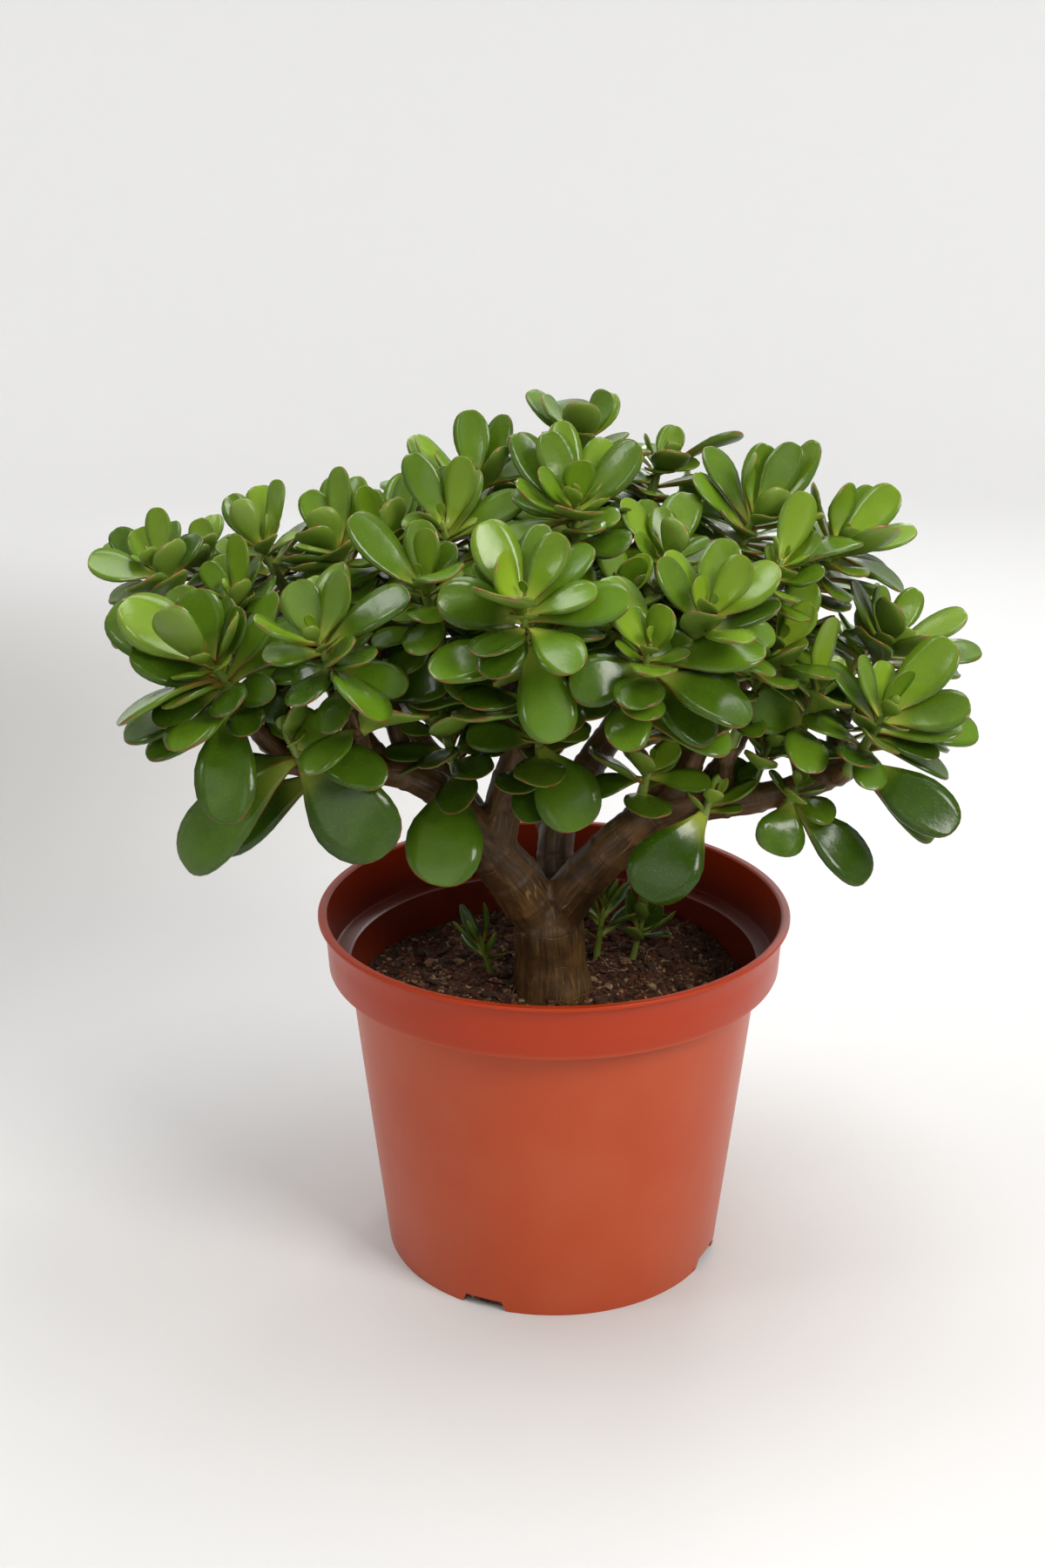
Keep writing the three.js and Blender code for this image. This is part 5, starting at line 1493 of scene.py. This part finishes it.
class LeafForm:
    """The form that every leaf is bent from: a plump spoon of few faces, standing along Z."""

    STATIONS = (0.0, 0.09, 0.22, 0.36, 0.5, 0.62, 0.73, 0.82, 0.89, 0.94, 0.973, 0.993)

    def __init__(self, corners: int = 10, blunt: float = 0.55) -> None:
        """Models the form.

        Args:
            corners: Points round the leaf.
            blunt: How square its margin is, less being squarer.
        """
        bpy.ops.mesh.primitive_circle_add(vertices=corners, radius=1, fill_type="NGON")
        form = bpy.context.object
        for vertex in form.data.vertices:
            turn = math.atan2(vertex.co.y, vertex.co.x)
            rise = abs(math.sin(turn)) ** blunt if abs(math.sin(turn)) > 1e-4 else 0.0
            vertex.co.x = math.cos(turn) * spoon(0)
            vertex.co.y = math.copysign(rise, math.sin(turn)) * self.plump(0)
        bpy.ops.object.mode_set(mode="EDIT")
        bpy.ops.mesh.select_all(action="SELECT")
        for low, high in zip(self.STATIONS, self.STATIONS[1:]):
            bpy.ops.mesh.extrude_region_move(TRANSFORM_OT_translate={"value": (0, 0, high - low)})
            shares = (spoon(high) / spoon(low), self.plump(high) / self.plump(low), 1)
            bpy.ops.transform.resize(value=shares, center_override=(0, 0, high))
        bpy.ops.mesh.extrude_region_move(TRANSFORM_OT_translate={"value": (0, 0, 1 - self.STATIONS[-1])})
        bpy.ops.mesh.merge(type="CENTER")
        bpy.ops.mesh.select_all(action="SELECT")
        bpy.ops.mesh.normals_make_consistent(inside=False)
        bpy.ops.object.mode_set(mode="OBJECT")
        points = points_of(form.data)
        self.faces = [tuple(p.vertices) for p in form.data.polygons]
        bpy.data.objects.remove(form)
        self.u = points[:, 2]
        widths = np.array([max(spoon(u), 1e-6) for u in self.u])
        plumps = np.array([self.plump(u) for u in self.u])
        self.across = points[:, 0]
        self.s = np.where(self.u > 0.999, 0, points[:, 0] / widths)
        self.lift = points[:, 1]
        self.face = np.where(self.u > 0.999, 0, points[:, 1] / plumps)
        self.widths = widths
        self.plumps = plumps
        self.rim = np.clip(1 - self.from_margin() / 0.13, 0, 1)

    def from_margin(self) -> np.ndarray:
        """Measures how far each point is from the leaf's margin.

        Returns:
            Distances in half widths.
        """
        slender = 3.4  # length in half widths
        line = np.array([(slender * u, side * spoon(u)) for u in np.linspace(0, 1, 200) for side in (-1, 1)])
        place = np.stack([slender * self.u, self.across], axis=1)
        return np.linalg.norm(place[:, None] - line[None], axis=2).min(axis=1)

    @staticmethod
    def plump(u: float) -> float:
        """Half thickness at a share of the length, as a share of the greatest."""
        if u > WIDEST:
            return math.sqrt(max(0.02, 1 - ((u - WIDEST) / (1 - WIDEST)) ** 3))
        return 0.5 + 0.5 * math.sin(math.pi / 2 * u / WIDEST)

    def bent(self, blade: Blade) -> np.ndarray:
        """The form laid on a blade.

        Args:
            blade: The blade.

        Returns:
            One row of three metres a point.
        """
        u, s = self.u, self.s
        thick = blade.thickness
        rise = blade.arch * 4 * u * (1 - u) + blade.cup * s * s * self.widths
        rise = rise - 0.3 * thick * (1 - s * s) * self.plumps + self.lift * thick / 2
        rise = rise + blade.length * blade.curl * np.clip(u - 0.4, 0, 1) ** 2 * 2.8
        rise = rise + blade.width * blade.wave * s * np.sin(7.5 * u + 20 * blade.tint) * self.widths
        turn = blade.twist * u
        across = self.across * blade.width / 2 * (1 - blade.pointed * np.clip((u - 0.45) / 0.5, 0, 1) ** 1.3)
        sideways = across * np.cos(turn) - rise * np.sin(turn) + blade.length * blade.sweep * u * u
        upwards = across * np.sin(turn) + rise * np.cos(turn)
        return (
            blade.root
            + np.outer(u * blade.length, blade.along)
            + np.outer(upwards, blade.upper)
            + np.outer(sideways, blade.side)
        )


def read_blades(node: str) -> list[Blade]:
    """Finds the blades of a leafy node from their tips: a tip has three neighbours, two edges and a keel.

    Args:
        node: Name of the node in the frame.

    Returns:
        Its blades.
    """
    points, near = merged_copy(node)
    share = outline(LAST_RING)
    blades = []
    for tip, linked in zip(points, near):
        if len(linked) != 3:
            continue
        corners = [points[i] for i in sorted(linked)]
        fits = []
        for k in range(3):
            a, b = (corners[j] for j in range(3) if j != k)
            middle, across = (a + b) / 2, a - b
            up, out = middle - corners[k], tip - middle
            lean = [abs(across @ v) / (np.linalg.norm(across) * np.linalg.norm(v) + 1e-12) for v in (up, out)]
            fits.append((max(lean), k, middle, across, up, out))
        skew, k, middle, across, up, out = min(fits, key=lambda fit: fit[:2])
        if skew > 2e-3:
            continue
        upper = unit(up)
        flat = out - upper * (out @ upper)
        along = unit(flat)
        length = np.linalg.norm(flat) / (1 - LAST_RING)
        blade = Blade(tip - along * length, along, upper, length, np.linalg.norm(across) / share, 0, 0)
        sold = min(max(0.125 * blade.width, 2.2 * MM), 4.4 * MM)
        blade.cup = (up @ upper - 0.45 * sold) / share
        blade.arch = -(out @ upper + blade.cup * share) / (4 * LAST_RING * (1 - LAST_RING))
        blades.append(blade)
    return blades


@dataclass
class Head:
    """One leafy head: a green stem with the frame's leaves, small fresh leaves and a few old ones below."""

    name: str
    centre: np.ndarray
    axis: np.ndarray
    foot: np.ndarray
    slim: float = 1.0
    blades: list[Blade] = field(default_factory=list)

    @property
    def stem(self) -> float:
        """Length of the green stem below the centre."""
        return float(np.linalg.norm(self.centre - self.foot))

    def direction(self, turn: float, open_angle: float) -> tuple[np.ndarray, np.ndarray]:
        """The way of a leaf that opens from the stem, and its upper side.

        Args:
            turn: Angle round the stem, in degrees.
            open_angle: Angle away from the stem, in degrees.

        Returns:
            Direction along the leaf and direction of its upper face.
        """
        side, over = frame_round(self.axis)
        angle, opened = math.radians(turn), math.radians(open_angle)
        out = side * math.cos(angle) + over * math.sin(angle)
        along = self.axis * math.cos(opened) + out * math.sin(opened)
        return along, unit(self.axis - along * (self.axis @ along))

    def leaf(
        self, turn: float, open_angle: float, length: float, drop: float, age: float, tint: float
    ) -> Blade:
        """Makes a blade on this head's stem.

        Args:
            turn: Angle round the stem, in degrees.
            open_angle: Angle away from the stem, in degrees.
            length: Length of the leaf.
            drop: How far below the centre its root is.
            age: 0 is old, 1 is fresh.
            tint: The leaf's own shade, from 0 to 1.

        Returns:
            The blade.
        """
        along, upper = self.direction(turn, open_angle)
        if open_angle < 1:
            upper = frame_round(self.axis)[0]
        droop = min(max((open_angle - 35) / 60, 0), 1)
        root = self.centre - self.axis * drop + along * 1.2 * MM
        width = 0.62 * length
        arch, cup = length * (-0.07 + 0.16 * droop), width * (0.09 - 0.05 * droop)
        return Blade(root, along, upper, length, width, arch, cup, age, tint)


class Crown:
    """All leafy heads and seedlings: reads the frame's blades and adds the small leaves that fill them in."""

    # Pairs from the bud down: angle from the stem, length, drop below the centre, age.
    YOUNG = ((10, 9, -6, 1.0), (24, 13, -4, 0.95), (40, 18, -1, 0.8), (58, 23, 4, 0.6))
    OLD = (
        (46, 34, 1, 0.5), (60, 40, 6, 0.35), (74, 43, 12, 0.2), (86, 43, 19, 0.1), (96, 40, 27, 0.0),
    )
    SEEDLING = ((16, 18, -3, 0.5), (64, 25, 8, 0.0))
    TURNS = (0, 22, -22, 45, 68, -68)
    SHADE_EVERY = 8 * MM  # leaves along the twigs, one try at each
    SHADE_TRIES = 34
    PARTINGS = 10  # rounds in which crossing leaves give way
    BOX_ROOM = 4 * MM  # how far the added leaves may stand out of the frame's box
    STEM_ROOM = 6 * MM  # from a leaf to the line of another head's stem
    WOOD_ROOM = 2.5 * MM
    SHADE_LENGTH = (38, 58)  # in millimetres

    def __init__(self, peat: PeatFill) -> None:
        """Reads the frame's leaves.

        Args:
            peat: The soil that the seedlings stand in.
        """
        self.draw = np.random.default_rng(SEED)
        self.heads = [self.head_of(name) for name in HEADS]
        self.heads += [self.seedling(name, peat) for name in SEEDLINGS]
        low, high = (np.array(corner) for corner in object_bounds())
        self.low, self.high = low - self.BOX_ROOM, high + self.BOX_ROOM
        for head in self.heads:
            head.blades = read_blades(head.name)
            for blade in head.blades:
                self.judge(head, blade)

    @staticmethod
    def head_of(name: str) -> Head:
        """Returns a head of the crown, without its leaves."""
        at, stem, _ = HEADS[name]
        centre, axis = np.array(at) * MM, head_axis(at)
        return Head(name, centre, axis, centre - axis * stem * MM)

    @staticmethod
    def seedling(name: str, peat: PeatFill) -> Head:
        """Places a seedling, without its leaves.

        Args:
            name: The seedling's node.
            peat: The soil that it stands in.

        Returns:
            The seedling.
        """
        (x, y), height, lean = SEEDLINGS[name]
        foot = np.array([x * MM, y * MM, peat.height_at(x * MM, y * MM) - 8 * MM])
        axis = unit(np.array([*lean, 1.0]))
        return Head(name, foot + axis * (height + 8) * MM, axis, foot, slim=0.62)

    def judge(self, head: Head, blade: Blade) -> None:
        """Gives one of the frame's blades an age and a shade.

        Args:
            head: The head that it stands on.
            blade: The blade.
        """
        drop = (head.centre - blade.root) @ head.axis
        opened = math.degrees(math.acos(float(np.clip(blade.along @ head.axis, -1, 1))))
        worn = drop / (16 * MM) + (blade.length - 22 * MM) / (60 * MM) + (opened - 30) / 90
        blade.age = float(np.clip(0.75 - 0.5 * worn + 0.12 * self.draw.normal(), 0, 1))
        blade.tint = float(self.draw.random())
        blade.vary(self.draw)
        blade.least = blade.width
        lack = 0.57 * blade.length - blade.width
        if lack > 0 and head.slim == 1:  # the frame's narrow upright blades are broader in the living plant
            blade.width += 0.4 * lack
        if head.slim < 1:  # a seedling in the shade has narrow dark pointed leaves
            blade.age *= 0.3
            blade.tint *= 0.35
            blade.pointed = 0.35
            blade.width *= 1.2

    def fill(self) -> None:
        """Adds small leaves at each bud and old leaves down each stem wherever there is room."""
        form = LeafForm(6)
        points, faces, count = [], [], 0
        for head in self.heads:
            for blade in head.blades:
                rows = form.bent(blade)
                points.append(rows)
                faces += [tuple(i + count for i in f) for f in form.faces]
                count += len(rows)
        tree = BVHTree.FromPolygons([Vector(p) for p in np.vstack(points)], faces)
        self.feet = np.array([head.foot for head in self.heads])
        self.buds = np.array([head.centre + head.axis * 5 * MM for head in self.heads])
        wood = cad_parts["trunk_and_limbs"].data
        corners, sides = [v.co for v in wood.vertices], [tuple(f.vertices) for f in wood.polygons]
        self.wood = BVHTree.FromPolygons(corners, sides)
        placed = np.empty((0, 3))
        for head in self.heads:
            seedling = head.slim < 1
            pairs = self.SEEDLING if seedling else self.YOUNG + self.OLD
            first = self.draw.uniform(0, 90)
            for k, (opened, length, drop, age) in enumerate(pairs):
                if drop * MM > head.stem - 4 * MM:
                    continue
                for half in (0, 180):
                    scale = self.draw.uniform(0.85, 1.12)
                    jitter = self.draw.normal(0, 5, 2)
                    tint = float(self.draw.random())
                    for turn in self.TURNS:
                        spin = first + 90 * k + half + turn + jitter[0]
                        blade = head.leaf(spin, opened + jitter[1], length * scale * MM, drop * MM, age, tint)
                        probes = blade.probes((0.45, 0.7, 0.95), 0.8)
                        if self.clear(blade, probes, tree, placed):
                            blade.vary(self.draw)
                            if seedling:
                                blade.pointed, blade.width, blade.tint = 0.35, 0.75 * blade.width, 0.4 * tint
                            head.blades.append(blade)
                            placed = np.vstack([placed, probes])
                            break
        self.shade(tree, placed)

    def part(self, form: LeafForm) -> None:
        """Lets leaves give way, a little each round, where they cross a leaf of another head.

        An added leaf gives way to one of the frame's, and otherwise both do.

        Args:
            form: The form of the leaves.
        """
        owners = [head for head in self.heads for _ in head.blades]
        blades = [blade for head in self.heads for blade in head.blades]
        boxes = np.empty((len(blades), 2, 3))
        trees: dict[int, BVHTree] = {}
        changed = set(range(len(blades)))
        for _ in range(self.PARTINGS):
            for i in changed:
                bent = form.bent(blades[i])
                trees[i] = BVHTree.FromPolygons([tuple(point) for point in bent], form.faces)
                boxes[i] = bent.min(axis=0), bent.max(axis=0)
            caught: set[int] = set()
            for i in changed:
                near = ((boxes[:, 0] <= boxes[i, 1]) & (boxes[:, 1] >= boxes[i, 0])).all(axis=1)
                for j in np.flatnonzero(near).tolist():
                    if owners[i] is not owners[j] and trees[i].overlap(trees[j]):
                        caught.update([k for k in (i, j) if not blades[k].least] or [i, j])
            LOG.info("leaves that give way: %d", len(caught))
            if not caught:
                break
            for k in caught:
                blades[k].give_way()
            changed = caught

    def lowest(self, x: float) -> float:
        """How low a leaf may hang: the limbs are bare in the middle of the crown."""
        return (352 - 0.4 * max(0.0, abs(x) / MM - 70)) * MM

    def shade(self, tree: BVHTree, placed: np.ndarray) -> None:
        """Adds large old leaves along the twigs and stems inside the crown, wherever there is room.

        Args:
            tree: The leaves of the frame.
            placed: Probes of the leaves placed so far.
        """
        for head in self.heads:
            if head.name not in HEADS:
                continue
            line = twig_rows(*HEADS[head.name])[:, :3] * MM
            line = np.vstack([line, head.centre])
            runs = np.r_[0, np.cumsum(np.linalg.norm(np.diff(line, axis=0), axis=1))]
            for run in np.arange(0.3 * runs[-1], runs[-1], self.SHADE_EVERY):
                root = np.array([np.interp(run, runs, line[:, i]) for i in range(3)])
                for _ in range(self.SHADE_TRIES):
                    turn = self.draw.uniform(0, 2 * math.pi)
                    rise = self.draw.uniform(-0.45, 0.55)
                    along = unit(np.array([math.cos(turn), math.sin(turn), rise]))
                    upper = np.array([0.25 * self.draw.normal(), 0.25 * self.draw.normal(), 1.0])
                    upper = unit(upper - along * (upper @ along))
                    length = self.draw.uniform(*self.SHADE_LENGTH) * MM
                    start = root + along * 3 * MM
                    width = self.draw.uniform(0.55, 0.66) * length
                    blade = Blade(start, along, upper, length, width, 0.07 * length, 0.02 * length)
                    blade.age, blade.tint = 0.12 * self.draw.random(), self.draw.random()
                    probes = blade.probes((0.4, 0.7, 0.95), 0.85)
                    if probes[:, 2].min() < self.lowest(probes[-2, 0]):
                        continue
                    if self.meets_stem(head, probes) or not self.clear(blade, probes, tree, placed):
                        continue
                    blade.vary(self.draw)
                    head.blades.append(blade)
                    placed = np.vstack([placed, probes])
                    break

    def meets_stem(self, own: Head, probes: np.ndarray) -> bool:
        """Whether a leaf touches the wood or another head's stem.

        Args:
            own: The leaf's own head.
            probes: Points of the leaf's middle surface.

        Returns:
            True if one of the points is too near.
        """
        if any(self.wood.find_nearest(Vector(probe), self.WOOD_ROOM)[0] is not None for probe in probes):
            return True
        ways = self.buds - self.feet
        for head, foot, way in zip(self.heads, self.feet, ways):
            if head is own:
                continue
            share = np.clip((probes - foot) @ way / (way @ way), 0, 1)
            if np.linalg.norm(probes - foot - share[:, None] * way, axis=1).min() < self.STEM_ROOM:
                return True
        return False

    def clear(self, blade: Blade, probes: np.ndarray, tree: BVHTree, placed: np.ndarray) -> bool:
        """Whether a blade has room.

        Args:
            blade: The blade to place.
            probes: Points of its middle surface.
            tree: The leaves of the frame.
            placed: Probes of the leaves placed so far.

        Returns:
            True if it crosses nothing and stays in the model's box.
        """
        if (probes < self.low).any() or (probes > self.high).any():
            return False
        room = 0.5 * blade.thickness + 1.2 * MM
        if len(placed) and np.linalg.norm(placed[:, None] - probes[None], axis=2).min() < room + 2.5 * MM:
            return False
        for probe in probes:
            if tree.find_nearest(Vector(probe), room)[0] is not None:
                return False
        start = blade.middle(0.3, 0)
        for s in (-0.7, 0, 0.7):
            way = blade.middle(0.95, s) - start
            reach = float(np.linalg.norm(way))
            if tree.ray_cast(Vector(start), Vector(way).normalized(), reach)[0] is not None:
                return False
        return True

    def stem_rows(self, head: Head) -> tuple[np.ndarray, list[tuple[int, ...]]]:
        """A head's green stem: a tapered tube with a swelling at each pair of leaves, closed at the bud.

        Args:
            head: The head.

        Returns:
            Points and faces.
        """
        side, over = frame_round(head.axis)
        length = head.stem + 6 * MM
        count = max(6, int(length / (4 * MM)))
        rows, links, corners = [], [], 8
        for k in range(count + 1):
            t = k / count
            knot = 0.25 * MM * (k % 2) * (1 - t)
            radius = (3.5 - 1.3 * t) * MM * head.slim * (1 if t < 0.9 else 0.6) + knot
            centre = head.foot + head.axis * (length * t - 3 * MM * (1 - t) * (head.slim == 1))
            for c in range(corners):
                turn = 2 * math.pi * c / corners
                rows.append(centre + radius * (side * math.cos(turn) + over * math.sin(turn)))
        for k in range(count):
            for c in range(corners):
                a, b = k * corners + c, k * corners + (c + 1) % corners
                links.append((a, b, b + corners, a + corners))
        rows.append(head.foot + head.axis * (length + 1.5 * MM))
        top = len(rows) - 1
        last = count * corners
        links += [(last + c, last + (c + 1) % corners, top) for c in range(corners)]
        links.append(tuple(reversed(range(corners))))
        return np.array(rows), links

    def head_piece(self, head: Head, form: LeafForm) -> bpy.types.Object:
        """One head's stem and leaves in one mesh, with what the leaf's material reads.

        Args:
            head: The head.
            form: The form of its leaves.

        Returns:
            The piece.
        """
        rows, links = self.stem_rows(head)
        points, faces = [rows], list(links)
        blades = [np.tile([-1.0, 0, 0], (len(rows), 1))]
        traits = [np.tile([0.3, 0.5, 0], (len(rows), 1))]
        count = len(rows)
        for blade in head.blades:
            bent = form.bent(blade)
            points.append(bent)
            faces += [tuple(i + count for i in f) for f in form.faces]
            count += len(bent)
            blades.append(np.stack([form.u, form.s, form.face], axis=1))
            worn = np.full(len(bent), blade.age)
            traits.append(np.stack([worn, np.full(len(bent), blade.tint), form.rim], axis=1))
        piece = mesh_piece(head.name + "_leaves", np.vstack(points), faces)
        give_vector(piece.data, "blade", np.vstack(blades))
        give_vector(piece.data, "traits", np.vstack(traits))
        return piece

    def build(self, finish: JadeLeaf) -> None:
        """Models and dresses every head.

        Args:
            finish: The leaves' finish.
        """
        deselect()
        self.fill()
        form = LeafForm()
        self.part(form)
        material = finish.build()
        for head in self.heads:
            finish_piece(self.head_piece(head, form), material, Slot.LEAF, head.name)
        LOG.info("leaves in all: %d", sum(len(head.blades) for head in self.heads))


# ---- studio --------------------------------------------------------------------------------------


@dataclass
class Studio:
    """A pale round cove, a large soft light at the front right, weaker ones elsewhere and the camera."""

    MIDDLE: ClassVar = (0, 0, 0.3)
    # Name, place, what it points at, side in metres, watts and colour.
    LIGHTS: ClassVar = (
        ("key_right", (1.15, -1.2, 1.55), MIDDLE, 0.8, 30.5, "#fffcf6"),
        ("top", (0.3, 0.15, 1.5), MIDDLE, 0.8, 11, "#ffffff"),
        ("top_left", (-0.8, 0.2, 1.45), MIDDLE, 0.5, 5.5, "#ffffff"),
        ("glint_back", (0.5, 1.5, 1.25), MIDDLE, 0.35, 3.5, "#ffffff"),
        ("glint_left", (-1.3, -0.5, 1.1), MIDDLE, 0.3, 2.5, "#ffffff"),
        ("front", (-0.6, -2.3, 1.2), MIDDLE, 1.6, 7.5, "#ffffff"),
        ("paper_right", (1.2, 0.9, 1.7), (0.7, 3.0, 1.15), 1.4, 20.5, "#ffffff"),
        ("paper_left", (-1.2, 0.9, 1.7), (-0.7, 3.0, 1.2), 1.4, 16.5, "#ffffff"),
    )

    reach: float = 3.0
    curve: float = 0.9
    height: float = 2.4
    sectors: int = 96
    bends: int = 16
    daylight: float = 0.05
    lens: float = 48.0  # millimetres, on a sensor of the width below
    sensor: float = 36.0
    eye: tuple[float, float, float] = (-0.0179, -1.1029, 0.6881)
    look_down: float = 20.14  # degrees

    def cove(self, finish: StudioPaper) -> None:
        """Lays the floor: a disc drawn out and up all round, so that every view has the same background.

        Args:
            finish: The paper's finish.
        """
        deselect()
        radius, height = self.reach - self.curve, 0.0
        bpy.ops.mesh.primitive_circle_add(vertices=self.sectors, radius=radius, fill_type="NGON")
        paper = bpy.context.object
        bpy.ops.object.mode_set(mode="EDIT")
        bpy.ops.mesh.select_mode(type="EDGE")
        bpy.ops.mesh.select_all(action="SELECT")
        rings = []
        for k in range(1, self.bends + 1):
            turn = math.pi / 2 * k / self.bends
            rings.append((self.reach - self.curve * (1 - math.sin(turn)), self.curve * (1 - math.cos(turn))))
        rings.append((self.reach, self.height))
        for new_radius, new_height in rings:
            bpy.ops.mesh.select_non_manifold()
            rise = (0, 0, new_height - height)
            bpy.ops.mesh.extrude_region_move(TRANSFORM_OT_translate={"value": rise})
            share = new_radius / radius
            bpy.ops.transform.resize(value=(share, share, 1), center_override=(0, 0, new_height))
            radius, height = new_radius, new_height
        bpy.ops.object.mode_set(mode="OBJECT")
        only(paper)
        bpy.ops.object.shade_smooth()
        paper.name = "background_paper"
        paper.data.materials.append(finish.build())
        paper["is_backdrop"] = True

    def light(
        self, name: str, place: Sequence[float], aim: Sequence[float], size: float, power: float, colour: str
    ) -> None:
        """Adds a square softbox.

        Args:
            name: The light's name.
            place: Where it stands.
            aim: What it points at.
            size: Length of its sides.
            power: Watts.
            colour: Hex colour.
        """
        lamp = bpy.data.lights.new(name, "AREA")
        lamp.shape = "SQUARE"
        lamp.size = size
        lamp.energy = power
        lamp.color = linear(colour)[:3]
        holder = bpy.data.objects.new(name, lamp)
        holder.location = place
        holder.visible_camera = False
        holder.rotation_euler = (Vector(aim) - Vector(place)).to_track_quat("-Z", "Y").to_euler()
        bpy.context.collection.objects.link(holder)

    def camera(self) -> None:
        """Sets the camera that the photograph was taken with, as fitted to the pot's rim and foot."""
        lens = bpy.data.cameras.new("camera")
        lens.sensor_width = self.sensor
        lens.lens = self.lens
        lens.clip_start = 0.01
        camera = bpy.data.objects.new("camera", lens)
        camera.location = self.eye
        camera.rotation_euler = (math.radians(90 - self.look_down), 0, 0)
        bpy.context.collection.objects.link(camera)
        bpy.context.scene.camera = camera

    def build(self, finish: StudioPaper) -> None:
        """Sets up the studio.

        Args:
            finish: The paper's finish.
        """
        self.cove(finish)
        for name, place, aim, size, power, colour in self.LIGHTS:
            self.light(name, place, aim, size, power, colour)
        world = bpy.data.worlds.new("studio")
        world.use_nodes = True
        background = world.node_tree.nodes["Background"]
        background.inputs[0].default_value = linear("#ffffff")
        background.inputs[1].default_value = self.daylight
        bpy.context.scene.world = world
        bpy.context.scene.view_settings.view_transform = "Standard"
        self.camera()


# ---- the whole -----------------------------------------------------------------------------------


def main() -> None:
    """Builds the plant, its pot and the studio."""
    logging.basicConfig(level=logging.INFO, format="%(name)s %(message)s")
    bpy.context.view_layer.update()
    pot = NurseryPot()
    peat = PeatFill()
    crown = Crown(peat)
    pot.build(MouldedPlastic())
    peat.build(pot, PottingPeat(), Chips())
    BareWood().build(JadeBark())
    crown.build(JadeLeaf())
    Studio().build(StudioPaper())


if __name__ == "__main__":
    main()
